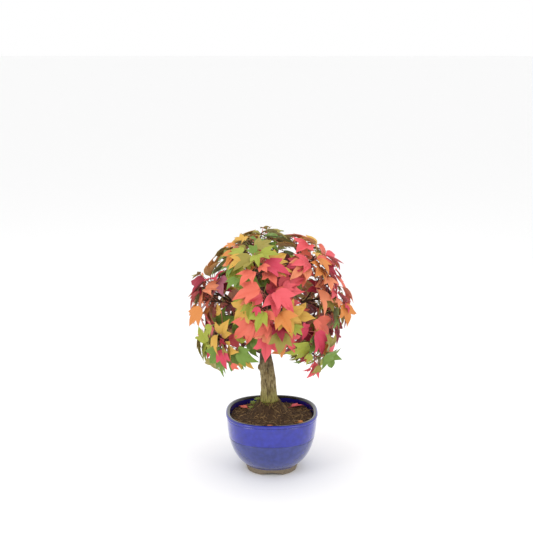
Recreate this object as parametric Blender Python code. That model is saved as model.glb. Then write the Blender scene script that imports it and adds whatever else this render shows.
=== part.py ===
"""A trident maple bonsai in autumn leaf, 0.32 m tall, in a soft-square glazed pot 0.12 m wide.

The pot, the soil, the fallen leaves, the trunk, each bough and each mass of foliage is one closed solid.
The origin is under the middle of the pot, on the surface it stands on. +Z is up and the front faces -Y.
"""

import math
import random

import bmesh
import bpy
from mathutils import Matrix, Vector
from mathutils.bvhtree import BVHTree

# Driving dimensions, in metres
POT_WIDTH = 0.120
POT_HEIGHT = 0.0775
TREE_TOP = 0.322
CROWN_WIDTH = 0.218
LEAF_LENGTH = 0.031
CLEARANCE = 0.0003

# The pot, from the driving dimensions
RIM_HALF = POT_WIDTH / 2
FOOT_HALF = 0.296 * POT_WIDTH
FOOT_TOE_IN = 0.0022
FOOT_HEIGHT = 0.0084
FOOT_WALL = 0.0085
WALL_HALF = RIM_HALF - 0.0011
WALL = 0.0048
LIP_HEIGHT = 0.0046
LIP_WIDTH = 0.0056
FLOOR_UNDERSIDE = 0.0062
FLOOR_TOP = 0.0125
GROOVE_HEIGHT = 0.61 * POT_HEIGHT
GROOVE_WIDTH = 0.0014
GROOVE_DEPTH = 0.0005
DRAIN_RADIUS = 0.0055
ARCH_WIDTH = 0.0275
ARCH_HEIGHT = 0.0034
ARCH_SEGMENTS = 64
POT_SIDES = 32
FOOT_SQUARENESS = 2.1
RIM_SQUARENESS = 2.5
FOOT_SHOULDER = (0.0006, 0.4)
FOOT_BORE_SLOPE = 0.0015
BELLY_LOW = (1.33, 0.22)
BELLY_HIGH = (0.965, 0.42)
BELLY_SHARES = (0.0, 0.10, 0.22, 0.38)
INNER_SHARES = (0.0, 0.12, 0.3, 0.6, 1.0)
LIP_ANGLES = (-30, 20, 90, 150)
BISECTIONS = 40

# The soil, and the mound that the trunk stands on
SOIL_EDGE = POT_HEIGHT - 0.0085
MOUND_TOP = POT_HEIGHT + 0.0080
MOUND_RADIUS = 0.0134
SOIL_RINGS = ((0.30, -0.0008), (0.60, 0.0004), (0.78, 0.0046), (0.92, 0.0122))

# The trunk's axis as x, y, height and diameter, from its flat cut on the mound to the fork
TRUNK_FOOT = (-0.0040, 0.0160, MOUND_TOP + CLEARANCE, 0.0212)
TRUNK_COURSE = (
    TRUNK_FOOT,
    (-0.0042, 0.0150, 0.1080, 0.0198),
    (-0.0066, 0.0138, 0.1330, 0.0180),
    (-0.0082, 0.0120, 0.1530, 0.0142),
    (-0.0068, 0.0095, 0.1860, 0.0122),
    (-0.0062, 0.0080, 0.2160, 0.0104),
    (-0.0088, 0.0060, 0.2480, 0.0084),
)
TRUNK_SIDES = 12
TRUNK_RINGS = 17
FLARE_HEIGHT = 0.0060
FLARE_SHARE = 0.13
FLARE_LOBES = 5
FLARE_LOBE_DEPTH = 0.6
FLARE_TURN = 0.7
SCAR_HEIGHT = 0.1315
SCAR_BULGE = 0.0022
SCAR_SPREAD = 0.0042

# The crown is a dome over a skirt, with an arch under it that leaves the trunk in view
CROWN_HALF = CROWN_WIDTH / 2
CROWN_SHOULDER = 0.252
CROWN_WAIST = 0.178
CROWN_FOOT = 0.134
SKIRT_NARROWING = 0.24
ARCH_RISE = 0.040
ARCH_HALF = 0.060
CROWN_MIDDLE = 0.205
CROWN_LIFT = 0.9


class Tier:
    """One storey of the tree: its boughs, evenly turned round the trunk, and the masses that they carry."""

    def __init__(self, name, count, turn, reach, height, root, root_step, thickness, size):
        self.name = name
        self.count = count
        self.turn = turn
        self.reach = reach
        self.height = height
        self.root = root
        self.root_step = root_step
        self.thickness = thickness
        self.size = size


TIERS = (
    Tier("low", 4, 222.0, 0.067, 0.180, 0.1510, 0.0085, 0.0058, 1.0),
    Tier("middle", 4, 178.0, 0.067, 0.225, 0.1900, 0.0080, 0.0050, 1.0),
    Tier("high", 3, 235.0, 0.047, 0.268, 0.2260, 0.0070, 0.0043, 0.87),
)
TOP_MASS_CENTRE = Vector((-0.014, 0.002, 0.293))
TOP_MASS_SIZE = 0.80
BOUGH_TIP_RADIUS = 0.0015
BOUGH_SHARE = 0.46
BOUGH_TIP_RISE = 0.004
BOUGH_BEND = 0.50
BOUGH_LIFT = 0.30
BOUGH_TAPER = 0.8
BOUGH_POINTS = 6
BOUGH_SIDES = 6
LEADER_SHARE = 0.5
LEADER_LIFT = 0.55
LEADER_THICKNESS = 0.86
WELD = 0.00001

# Twigs: their lengths, how far they spread and wander, and the room that each keeps
SEED = 2670
STEM_LENGTH = 0.016
STEM_TURN = 0.8
TWIG_LENGTHS = (0.021, 0.016)
TWIG_SPAN = (0.85, 1.25)
STEM_RADII = (0.0018, 0.0016, 0.0014, 0.0012)
TWIG_RADIUS = 0.00115
TWIG_SPREAD = math.radians(46)
TWIG_PULL = 0.35
TWIG_WANDER = 0.22
TWIG_ROLL = 0.4
TWIG_SINK = 0.0015
TWIG_MARGIN = 0.008
TWIG_ROOM = 0.0006
PROBE_START = 0.003
PROBE_RADIUS = 0.0022

# Leaves: where they hang, how they face, and the room that each keeps
LEAF_TRIES = 24
TIP_NODE_BACK = 0.0014
OUTER_NODE = 0.62
INNER_NODE = 0.80
NODE_ROLL = 6.3
LEAF_SPAN = (0.78, 1.14)
LEAF_SHRINK = 0.15
LEAF_WANDER = 0.35
STALK_OUT = 0.75
STALK_UP = 0.35
STALK_EASE = 0.4
STALK_SPAN = (0.7, 1.45)
FACE_UP = 0.25
FACE_EASE = 0.35
TIP_FOLLOW = 0.7
TIP_FALL = -0.85
TIP_EASE = 0.5
PETIOLE_SHARE = 0.46
PETIOLE_RADIUS = 0.00040
PETIOLE_SINK = 0.0002
PETIOLE_BEND = math.radians(78)
LEAF_THICKNESS = 0.0009
LEAF_DROOP = 0.20
LEAF_CUP = 0.22
TERRITORY_SLACK = 0.010
LEAF_ROOM = 0.0006
STALK_ROOM = 0.0006
STALK_FREE = 0.0035

# Leaves that have fallen on the soil: place, the way the tip points, and length
FALLEN = (
    ("fallen_leaf_right", 0.0270, 0.0300, 18.0, 0.0175),
    ("fallen_leaf_left", -0.0330, 0.0270, 160.0, 0.0125),
    ("fallen_leaf_front", 0.0020, -0.0440, 175.0, 0.0130),
    ("fallen_leaf_corner", 0.0400, -0.0240, 165.0, 0.0140),
)
FALLEN_CURL = -0.10
FALLEN_STALK_RISE = 0.15
FALLEN_STEP = 0.00015

# The right half of a three-lobed blade, along and across its midrib, for a blade one long
LEAF_CENTRE = 0.36
LEAF_HALF = ((0.14, 0.33), (0.66, 0.53), (0.55, 0.19))

parts = bpy.data.collections.new("trident_maple_bonsai")
cutters = bpy.data.collections.new("cutters")


def clear_scene():
    """Empties the scene and adds the collections for the parts and the cutters."""
    for old in list(bpy.data.objects):
        bpy.data.objects.remove(old, do_unlink=True)
    bpy.context.scene.collection.children.link(parts)
    bpy.context.scene.collection.children.link(cutters)


def material(name, red, green, blue, roughness):
    """Gives a plain Principled material."""
    made = bpy.data.materials.new(name)
    made.use_nodes = True
    shader = made.node_tree.nodes["Principled BSDF"]
    shader.inputs["Base Color"].default_value = (red, green, blue, 1.0)
    shader.inputs["Roughness"].default_value = roughness
    shader.inputs["Metallic"].default_value = 0.0
    return made


def add_object(name, mesh, finish, collection):
    """Puts a mesh into the scene as an object with one material."""
    thing = bpy.data.objects.new(name, mesh)
    if finish:
        mesh.materials.clear()
        mesh.materials.append(finish)
    collection.objects.link(thing)
    return thing


def finish_mesh(name, bm):
    """Turns a closed bmesh into a mesh whose faces point out."""
    bmesh.ops.recalc_face_normals(bm, faces=bm.faces)
    mesh = bpy.data.meshes.new(name)
    bm.to_mesh(mesh)
    bm.free()
    return mesh


def loft(name, rings, endless=False):
    """Joins rings of points with quads. An endless loft also joins its last ring to its first."""
    bm = bmesh.new()
    rows = [[bm.verts.new(point) for point in ring] for ring in rings]
    pairs = list(zip(rows, rows[1:]))
    if endless:
        pairs.append((rows[-1], rows[0]))
    else:
        bm.faces.new(rows[0])
        bm.faces.new(rows[-1])
    for lower, upper in pairs:
        for side, start in enumerate(lower):
            after = (side + 1) % len(lower)
            bm.faces.new((start, lower[after], upper[after], upper[side]))
    return finish_mesh(name, bm)


def evaluated_mesh(thing):
    """Gives a copy of an object's mesh with its modifiers applied."""
    graph = bpy.context.evaluated_depsgraph_get()
    return bpy.data.meshes.new_from_object(thing.evaluated_get(graph))


def boolean(thing, operation, other, solver="EXACT"):
    """Adds a Boolean modifier that works with one object or with all of a collection."""
    change = thing.modifiers.new(operation.lower(), "BOOLEAN")
    change.operation = operation
    change.solver = solver
    if isinstance(other, bpy.types.Collection):
        change.operand_type = "COLLECTION"
        change.collection = other
    else:
        change.object = other


def apply_modifiers(thing):
    """Replaces an object's mesh by its evaluated one."""
    mesh = evaluated_mesh(thing)
    thing.modifiers.clear()
    thing.data = mesh


def is_closed(mesh):
    """Says whether each edge of a mesh has two faces."""
    bm = bmesh.new()
    bm.from_mesh(mesh)
    closed = all(len(edge.link_faces) == 2 for edge in bm.edges)
    bm.free()
    return closed


def keep_largest_body(mesh):
    """Removes loose scraps and the walls of sealed hollows, which are the smaller of the mesh's islands."""
    bm = bmesh.new()
    bm.from_mesh(mesh)
    unseen = set(bm.verts)
    islands = []
    while unseen:
        front = [unseen.pop()]
        island = set(front)
        while front:
            vertex = front.pop()
            linked = {edge.other_vert(vertex) for edge in vertex.link_edges} & unseen
            unseen -= linked
            island |= linked
            front.extend(linked)
        islands.append(island)
    islands.sort(key=len, reverse=True)
    for scrap in islands[1:]:
        bmesh.ops.delete(bm, geom=list(scrap), context="VERTS")
    bm.to_mesh(mesh)
    bm.free()


# Pot


def soft_square(half, squareness, height):
    """Gives a closed ring round the pot's axis. Squareness 2 is a circle, and more is a harder square."""
    ring = []
    for step in range(POT_SIDES):
        angle = math.tau * (step + 0.5) / POT_SIDES
        across = abs(math.cos(angle)) ** squareness + abs(math.sin(angle)) ** squareness
        radius = half / across ** (1 / squareness)
        ring.append(Vector((radius * math.cos(angle), radius * math.sin(angle), height)))
    return ring


def belly_half(height):
    """Gives the half width of the pot's outer wall at a height, on one cubic curve from foot to lip."""
    curve = (
        Vector((FOOT_HALF, FOOT_HEIGHT)),
        Vector((BELLY_LOW[0] * FOOT_HALF, BELLY_LOW[1] * POT_HEIGHT)),
        Vector((BELLY_HIGH[0] * RIM_HALF, BELLY_HIGH[1] * POT_HEIGHT)),
        Vector((WALL_HALF, POT_HEIGHT - LIP_HEIGHT)),
    )
    low, high = 0.0, 1.0
    for _ in range(BISECTIONS):
        middle = (low + high) / 2
        rest = 1 - middle
        shares = (rest**3, 3 * rest**2 * middle, 3 * rest * middle**2, middle**3)
        point = sum((share * corner for share, corner in zip(shares, curve)), Vector((0, 0)))
        if point.y < height:
            low = middle
        else:
            high = middle
    return point.x


def squareness_at(height):
    """Gives how square the pot is at a height: nearly round at the foot, and squarer to the rim."""
    return FOOT_SQUARENESS + (RIM_SQUARENESS - FOOT_SQUARENESS) * height / POT_HEIGHT


def inner_heights():
    """Gives the heights of the rings inside the pot, which the soil's side shares."""
    return [FLOOR_TOP + share * (SOIL_EDGE - FLOOR_TOP) for share in INNER_SHARES]


def inner_half(height):
    """Gives the half width of the pot's inner wall at a height."""
    return belly_half(height) - WALL


def pot_section():
    """Gives the pot's section as half width and height, from the foot up, over the lip and in to the hole."""
    shoulder_in, shoulder_share = FOOT_SHOULDER
    section = [(FOOT_HALF - FOOT_TOE_IN, 0.0), (FOOT_HALF - shoulder_in, shoulder_share * FOOT_HEIGHT)]
    belly_top = POT_HEIGHT - LIP_HEIGHT
    for share in BELLY_SHARES:
        height = FOOT_HEIGHT + share * (belly_top - FOOT_HEIGHT)
        section.append((belly_half(height), height))
    for offset, depth in ((-0.5, 0.0), (0.0, GROOVE_DEPTH), (0.5, 0.0)):
        height = GROOVE_HEIGHT + offset * GROOVE_WIDTH
        section.append((belly_half(height) - depth, height))
    section.append((WALL_HALF, belly_top))
    lip_middle = RIM_HALF - LIP_WIDTH / 2
    for degrees in LIP_ANGLES:
        angle = math.radians(degrees)
        out = lip_middle + LIP_WIDTH / 2 * math.cos(angle)
        section.append((out, POT_HEIGHT - LIP_HEIGHT / 2 + LIP_HEIGHT / 2 * math.sin(angle)))
    section += [(inner_half(z), z) for z in reversed(inner_heights())]
    section += [(DRAIN_RADIUS, FLOOR_TOP), (DRAIN_RADIUS, FLOOR_UNDERSIDE)]
    foot_inside = FOOT_HALF - FOOT_TOE_IN - FOOT_WALL
    section += [(foot_inside - FOOT_BORE_SLOPE, FLOOR_UNDERSIDE), (foot_inside, 0.0)]
    return section


def build_pot(finish):
    """Makes the pot: one loft round its section, with low arches cut between its four feet."""
    rings = [
        soft_square(half, 2.0 if half == DRAIN_RADIUS else squareness_at(height), height)
        for half, height in pot_section()
    ]
    pot = add_object("pot", loft("pot", rings, endless=True), finish, parts)
    radius = ((ARCH_WIDTH / 2) ** 2 + ARCH_HEIGHT**2) / (2 * ARCH_HEIGHT)
    for name, axis in (("arch_along_y", "X"), ("arch_along_x", "Y")):
        bm = bmesh.new()
        lying = Matrix.Translation((0, 0, ARCH_HEIGHT - radius)) @ Matrix.Rotation(math.radians(90), 4, axis)
        bmesh.ops.create_cone(
            bm,
            cap_ends=True,
            segments=ARCH_SEGMENTS,
            radius1=radius,
            radius2=radius,
            depth=POT_WIDTH,
            matrix=lying,
        )
        cutter = add_object(name, finish_mesh(name, bm), None, cutters)
        cutter.hide_render = True
        cutter.display_type = "WIRE"
        boolean(pot, "DIFFERENCE", cutter)
    return pot


def build_soil(finish):
    """Makes the soil: it fills the pot, and rises to a mound with a flat top where the trunk stands."""
    rings = []
    for height in inner_heights():
        lift = CLEARANCE if height == FLOOR_TOP else 0.0
        rings.append(soft_square(inner_half(height) - 2 * CLEARANCE, squareness_at(height), height + lift))
    edge = rings[-1]
    top = []
    for point in edge:
        away = Vector((point.x, point.y, 0)).normalized()
        top.append(Vector((TRUNK_FOOT[0], TRUNK_FOOT[1], MOUND_TOP)) + MOUND_RADIUS * away)
    for share, rise in SOIL_RINGS:
        ring = []
        for outer, inner in zip(edge, top):
            point = outer.lerp(inner, share)
            point.z = SOIL_EDGE + rise
            ring.append(point)
        rings.append(ring)
    rings.append(top)
    return add_object("soil", loft("soil", rings), finish, parts)


# Trunk and boughs


def trunk_at(height):
    """Gives the trunk's axis point and diameter at a height, on a smooth curve through its course."""
    course = [Vector(stop) for stop in TRUNK_COURSE]
    for index in range(len(course) - 1):
        low, high = course[index], course[index + 1]
        if height <= high.z or index == len(course) - 2:
            break
    before = course[max(index - 1, 0)]
    after = course[min(index + 2, len(course) - 1)]
    share = (height - low.z) / (high.z - low.z)
    start_slope = (high - before) * (high.z - low.z) / (high.z - before.z)
    end_slope = (after - low) * (high.z - low.z) / (after.z - low.z)
    square, cube = share**2, share**3
    made = (2 * cube - 3 * square + 1) * low + (cube - 2 * square + share) * start_slope
    made += (3 * square - 2 * cube) * high + (cube - square) * end_slope
    return Vector((made.x, made.y, height)), made.w


def trunk_mesh(name, extra):
    """Makes the trunk, swollen by an extra radius, with its root flare and the knob of a pruning scar."""
    foot, fork = TRUNK_COURSE[0][2], TRUNK_COURSE[-1][2]
    rings = []
    for step in range(TRUNK_RINGS):
        height = foot + (fork - foot) * step / (TRUNK_RINGS - 1)
        axis, diameter = trunk_at(height)
        ring = []
        for side in range(TRUNK_SIDES):
            angle = math.tau * side / TRUNK_SIDES
            flare = FLARE_SHARE * math.exp(-(height - foot) / FLARE_HEIGHT)
            lobe = FLARE_LOBE_DEPTH * math.cos(FLARE_LOBES * angle + FLARE_TURN)
            radius = diameter / 2 * (1 + flare * (1 + lobe))
            away = (height - SCAR_HEIGHT) / SCAR_SPREAD
            radius += SCAR_BULGE * math.exp(-away * away) * max(math.cos(angle - math.pi), 0.0) ** 3
            radius += extra
            ring.append(axis + radius * Vector((math.cos(angle), math.sin(angle), 0)))
        rings.append(ring)
    if extra:
        rings[0] = [point - Vector((0, 0, extra)) for point in rings[0]]
        rings[-1] = [point + Vector((0, 0, extra)) for point in rings[-1]]
    return loft(name, rings)


def bough_course(root, tip, lift):
    """Gives a bough's points, from the trunk's axis out and up in one arc to its tip."""
    reach = tip - root
    bend = root + Vector((BOUGH_BEND * reach.x, BOUGH_BEND * reach.y, lift * reach.z))
    points = []
    for step in range(BOUGH_POINTS):
        share = step / (BOUGH_POINTS - 1)
        points.append((1 - share) ** 2 * root + 2 * share * (1 - share) * bend + share**2 * tip)
    return points


def limb(name, points, thickness, finish):
    """Makes one tapering limb as a bevelled curve with filled caps, and turns it into a closed mesh."""
    curve = bpy.data.curves.new(name, "CURVE")
    curve.dimensions = "3D"
    curve.bevel_depth = thickness / 2
    curve.bevel_resolution = (BOUGH_SIDES - 4) // 2
    curve.use_fill_caps = True
    spline = curve.splines.new("POLY")
    spline.points.add(len(points) - 1)
    taper = 2 * BOUGH_TIP_RADIUS / thickness
    for index, point in enumerate(points):
        share = index / (len(points) - 1)
        spline.points[index].co = (*point, 1.0)
        spline.points[index].radius = 1 + (taper - 1) * share**BOUGH_TAPER
    guide = bpy.data.objects.new(name + "_curve", curve)
    parts.objects.link(guide)
    mesh = evaluated_mesh(guide)
    bpy.data.objects.remove(guide)
    bm = bmesh.new()
    bm.from_mesh(mesh)
    bmesh.ops.remove_doubles(bm, verts=bm.verts, dist=WELD)
    bm.to_mesh(mesh)
    bm.free()
    mesh.name = name
    return add_object(name, mesh, finish, parts)


class Mass:
    """One mass of foliage: its middle, where its bough ends and points, and the size of its twigs."""

    def __init__(self, name, centre, tip, heading, size):
        self.name = name
        self.centre = centre
        self.tip = tip
        self.heading = heading
        self.size = size
        self.shoots = []
        self.leaves = []


def build_boughs(finish, trunk_room):
    """Makes a bough for each mass, cut clear of the trunk, and the leader above the fork."""
    masses = []
    boughs = []
    for tier in TIERS:
        for index in range(tier.count):
            turn = math.radians(tier.turn + 360 * index / tier.count)
            out = Vector((math.cos(turn), math.sin(turn), 0))
            centre = tier.reach * out + Vector((0, 0, tier.height))
            root, _ = trunk_at(tier.root + index * tier.root_step)
            tip = root.lerp(centre, BOUGH_SHARE) + Vector((0, 0, BOUGH_TIP_RISE))
            points = bough_course(root, tip, BOUGH_LIFT)
            name = f"{tier.name}_{index + 1}"
            bough = limb("bough_" + name, points, tier.thickness, finish)
            boolean(bough, "DIFFERENCE", trunk_room)
            apply_modifiers(bough)
            keep_largest_body(bough.data)
            boughs.append(bough)
            heading = (points[-1] - points[-2]).normalized()
            masses.append(Mass("foliage_" + name, centre, tip, heading, tier.size))
    fork, diameter = trunk_at(TRUNK_COURSE[-1][2])
    root = fork + Vector((0, 0, CLEARANCE))
    tip = root.lerp(TOP_MASS_CENTRE, LEADER_SHARE)
    points = bough_course(root, tip, LEADER_LIFT)
    points[1].x, points[1].y = root.x, root.y
    boughs.append(limb("leader", points, LEADER_THICKNESS * diameter, finish))
    heading = (points[-1] - points[-2]).normalized()
    masses.append(Mass("foliage_top", TOP_MASS_CENTRE, tip, heading, TOP_MASS_SIZE))
    return masses, boughs


# Twigs and leaves


def crown_half(height):
    """Gives the crown's half width at a height."""
    if height > CROWN_SHOULDER:
        return CROWN_HALF * math.sqrt(max(TREE_TOP - height, 0) / (TREE_TOP - CROWN_SHOULDER))
    drop = max(CROWN_WAIST - height, 0) / (CROWN_WAIST - CROWN_FOOT)
    return CROWN_HALF * (1 - SKIRT_NARROWING * drop)


def crown_underside(point):
    """Gives the lowest height that foliage may hang to over a place: it arches over the trunk's foot."""
    return CROWN_FOOT + ARCH_RISE * max(1 - abs(point.x) / ARCH_HALF, 0)


def inside_crown(point, margin=0.0):
    """Says whether a point is in the crown's outline, by a margin."""
    if point.z < crown_underside(point) + margin:
        return False
    return math.hypot(point.x, point.y) < crown_half(point.z + margin) - margin


def unit(rng):
    """Gives a random direction."""
    while True:
        arrow = Vector((rng.uniform(-1, 1), rng.uniform(-1, 1), rng.uniform(-1, 1)))
        if 0.1 < arrow.length < 1:
            return arrow.normalized()


def outward(point):
    """Gives the direction out of the crown at a point: sideways low down, and up at the top."""
    return Vector((point.x, point.y, CROWN_LIFT * (point.z - CROWN_MIDDLE))).normalized()


def turned(arrow, side, angle):
    """Leans a direction towards a side by an angle."""
    across = (side - side.project(arrow)).normalized()
    return math.cos(angle) * arrow + math.sin(angle) * across


def triangle(centre, along, side, radius):
    """Gives a three-cornered ring round a point, square to a direction, with its first corner to a side."""
    side = (side - side.project(along)).normalized()
    other = along.normalized().cross(side)
    ring = []
    for step in range(3):
        angle = math.tau * step / 3
        ring.append(centre + radius * (math.cos(angle) * side + math.sin(angle) * other))
    return ring


class Shoot:
    """One shoot: the joints of its line, with the radius at each, and how often its parents branched."""

    def __init__(self, points, level):
        self.points = points
        self.level = level

    def radius(self, index):
        """Gives the radius at a joint: the stem tapers, and side shoots are even."""
        return STEM_RADII[index] if self.level == 0 else TWIG_RADIUS

    def mesh(self, name):
        """Makes the shoot's three-sided tube."""
        rings = []
        side = (self.points[1] - self.points[0]).orthogonal()
        for index, point in enumerate(self.points):
            before = self.points[max(index - 1, 0)]
            after = self.points[min(index + 1, len(self.points) - 1)]
            rings.append(triangle(point, after - before, side, self.radius(index)))
            side = rings[-1][0] - point
        return loft(name, rings)

    def legs(self):
        """Gives the shoot's straight legs as start, end and whether it is the last."""
        last = len(self.points) - 2
        pairs = zip(self.points, self.points[1:])
        return [(start, end, index == last) for index, (start, end) in enumerate(pairs)]


def tree_of(mesh):
    """Gives the search tree of a mesh, for touch tests."""
    mesh.calc_loop_triangles()
    return BVHTree.FromPolygons(
        [vertex.co for vertex in mesh.vertices], [tuple(t.vertices) for t in mesh.loop_triangles]
    )


def twig_tree(start, end, radius):
    """Gives the search tree of a three-sided prism round a twig, for touch tests."""
    along = end - start
    side = along.orthogonal()
    points = triangle(start, along, side, radius) + triangle(end, along, side, radius)
    faces = [(0, 1, 2), (3, 4, 5)]
    faces += [(a, (a + 1) % 3, 3 + (a + 1) % 3, 3 + a) for a in range(3)]
    return BVHTree.FromPolygons(points, faces)


def grow_twigs(mass, rng, taken, limbs):
    """Branches a mass's stem by opposite pairs, and skips each twig that leaves its room or meets a limb."""
    start = mass.tip + CLEARANCE * mass.heading
    goal = (mass.centre - start).normalized()
    heading = (mass.heading + STEM_TURN * goal).normalized()
    stem = Shoot([start, start + mass.size * STEM_LENGTH * heading], 0)
    mass.shoots.append(stem)
    growing = [(stem, heading, rng.uniform(0, math.pi))]
    for level, length in enumerate(TWIG_LENGTHS, start=1):
        grown = []
        for parent, heading, roll in growing:
            joint = parent.points[-1]
            side = turned(heading.orthogonal().normalized(), heading.cross(heading.orthogonal()), roll)
            for lean in (side, -side, None):
                arrow = heading if lean is None else turned(heading, lean, TWIG_SPREAD)
                arrow = (arrow + TWIG_PULL * outward(joint) + TWIG_WANDER * unit(rng)).normalized()
                end = joint + mass.size * length * rng.uniform(*TWIG_SPAN) * arrow
                if not inside_crown(end, TWIG_MARGIN):
                    continue
                probe = twig_tree(joint + PROBE_START * arrow, end, PROBE_RADIUS)
                if any(probe.overlap(other) for other in limbs):
                    continue
                if any(owner is not mass and probe.overlap(other) for owner, other in taken):
                    continue
                if lean is None:
                    parent.points.append(end)
                    shoot = parent
                else:
                    shoot = Shoot([joint - TWIG_SINK * heading, end], level)
                    mass.shoots.append(shoot)
                grown.append((shoot, arrow, roll + math.pi / 2 + rng.uniform(-TWIG_ROLL, TWIG_ROLL)))
        growing = grown
    for shoot in mass.shoots:
        for start, end, _ in shoot.legs():
            taken.append((mass, twig_tree(start, end, TWIG_RADIUS + TWIG_ROOM)))


class Leaf:
    """One leaf: a stalk from its root to the blade, and a three-lobed blade along a midrib."""

    def __init__(self, root, stalk, midrib, normal, length, droop=LEAF_DROOP):
        self.droop = droop
        self.root = root
        self.base = root + stalk
        self.midrib = midrib
        self.normal = normal
        self.length = length

    def place(self, along, across, lift=0.0):
        """Gives the point of the drooping, cupped blade at a share along and across it."""
        side = self.midrib.cross(self.normal)
        height = LEAF_CUP * abs(across) - self.droop * along * along + lift
        return self.base + self.length * (along * self.midrib + across * side + height * self.normal)

    def outline(self):
        """Gives the blade's outline from one side of its base round the tip to the other."""
        right = [self.place(along, across) for along, across in LEAF_HALF]
        left = [self.place(along, -across) for along, across in reversed(LEAF_HALF)]
        return right + [self.place(1.0, 0.0)] + left

    def surfaces(self, thickness, stalk_radius, stalk_start=0.0):
        """Gives the points and triangles of the closed leaf. A stalk_start leaves the stalk's root free."""
        stalk = self.base - self.root
        side = self.midrib.cross(self.normal)
        bisector = (stalk.normalized() + self.midrib).normalized()
        lift = side.cross(bisector).normalized()
        if lift.dot(self.normal) < 0:
            lift = -lift
        corners = (lift, -0.5 * lift + 0.87 * side, -0.5 * lift - 0.87 * side)
        start = self.root + stalk.normalized() * (stalk_start or PETIOLE_SINK)
        points = [start + stalk_radius * corner for corner in corners]
        points += [self.base + stalk_radius * corner for corner in corners]
        centre_lift = self.droop * LEAF_CENTRE**2
        middle = self.place(LEAF_CENTRE, 0.0, 0.5 * centre_lift)
        points += [middle + thickness / 2 * self.normal, middle - thickness / 2 * self.normal]
        rim = [4] + list(range(8, 8 + 2 * len(LEAF_HALF) + 1)) + [5]
        points += self.outline()
        faces = [(0, 2, 1)]
        faces += [(a, (a + 1) % 3, 3 + (a + 1) % 3) for a in range(3)]
        faces += [(a, 3 + (a + 1) % 3, 3 + a) for a in range(3)]
        faces += [(6, first, second) for first, second in zip(rim, rim[1:])]
        faces += [(7, second, first) for first, second in zip(rim, rim[1:])]
        faces += [(6, 5, 3), (6, 3, 4), (7, 4, 5)]
        return points, faces


def leaf_object(name, leaf, collection):
    """Makes a leaf's closed mesh."""
    points, faces = leaf.surfaces(LEAF_THICKNESS, PETIOLE_RADIUS)
    bm = bmesh.new()
    verts = [bm.verts.new(point) for point in points]
    for face in faces:
        bm.faces.new([verts[index] for index in face])
    return add_object(name, finish_mesh(name, bm), None, collection)


def propose_leaf(node, side, rng, ease):
    """Gives one way that a leaf could hang from a node: facing out and up, tip down, and freer by ease."""
    out = outward(node)
    length = LEAF_LENGTH * rng.uniform(*LEAF_SPAN) * (1 - LEAF_SHRINK * ease)
    stalk_way = side + STALK_OUT * out + Vector((0, 0, STALK_UP))
    stalk_way = (stalk_way + (LEAF_WANDER + STALK_EASE * ease) * unit(rng)).normalized()
    normal = out + Vector((0, 0, FACE_UP))
    normal = (normal + (LEAF_WANDER + FACE_EASE * ease) * unit(rng)).normalized()
    droop = TIP_FOLLOW * stalk_way + Vector((0, 0, TIP_FALL))
    droop += (LEAF_WANDER + TIP_EASE * ease) * unit(rng)
    midrib = (droop - droop.project(normal)).normalized()
    shortest, longest = STALK_SPAN
    stalk = PETIOLE_SHARE * length * rng.uniform(shortest, longest + STALK_EASE * ease) * stalk_way
    return Leaf(node, stalk, midrib, normal, length)


def leaf_fits(leaf, mass, masses, taken, limbs):
    """Says whether a leaf stays in the crown and its mass's own space, clear of all that grows there."""
    if (leaf.base - leaf.root).angle(leaf.midrib) > PETIOLE_BEND:
        return None
    if not all(inside_crown(point) for point in leaf.outline()):
        return None
    middle = leaf.place(LEAF_CENTRE, 0.0)
    own = (middle - mass.centre).length - TERRITORY_SLACK
    if any((middle - other.centre).length < own for other in masses):
        return None
    points, faces = leaf.surfaces(LEAF_THICKNESS + 2 * LEAF_ROOM, PETIOLE_RADIUS + STALK_ROOM, STALK_FREE)
    probe = BVHTree.FromPolygons(points, faces)
    if any(probe.overlap(other) for other in limbs):
        return None
    if any(probe.overlap(other) for _, other in taken):
        return None
    return probe


def leaf_nodes(mass):
    """Gives where leaf pairs can hang: at the tips first, then along the outer legs, then at the joints."""
    tips, outer, inner = [], [], []
    for shoot in mass.shoots:
        for index, (start, end, last) in enumerate(shoot.legs()):
            along = (end - start).normalized()
            if last and (shoot.level or index):
                tips.append((end - TIP_NODE_BACK * along, along))
                outer.append((start.lerp(end, OUTER_NODE), along))
            elif not last and (shoot.level or index):
                inner.append((start.lerp(end, INNER_NODE), along))
    return tips, outer, inner


def grow_leaves(masses, rng, taken, limbs):
    """Hangs opposite leaves at each mass's nodes, and turns each leaf until it has room."""
    for rank in range(3):
        for mass in masses:
            for node, along in leaf_nodes(mass)[rank]:
                first = along.orthogonal().normalized()
                side = turned(first, along.cross(along.orthogonal()), rng.uniform(0, NODE_ROLL))
                for way in (side, -side):
                    for attempt in range(LEAF_TRIES):
                        leaf = propose_leaf(node, way, rng, attempt / LEAF_TRIES)
                        probe = leaf_fits(leaf, mass, masses, taken, limbs)
                        if probe:
                            mass.leaves.append(leaf)
                            taken.append((mass, probe))
                            break


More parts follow.
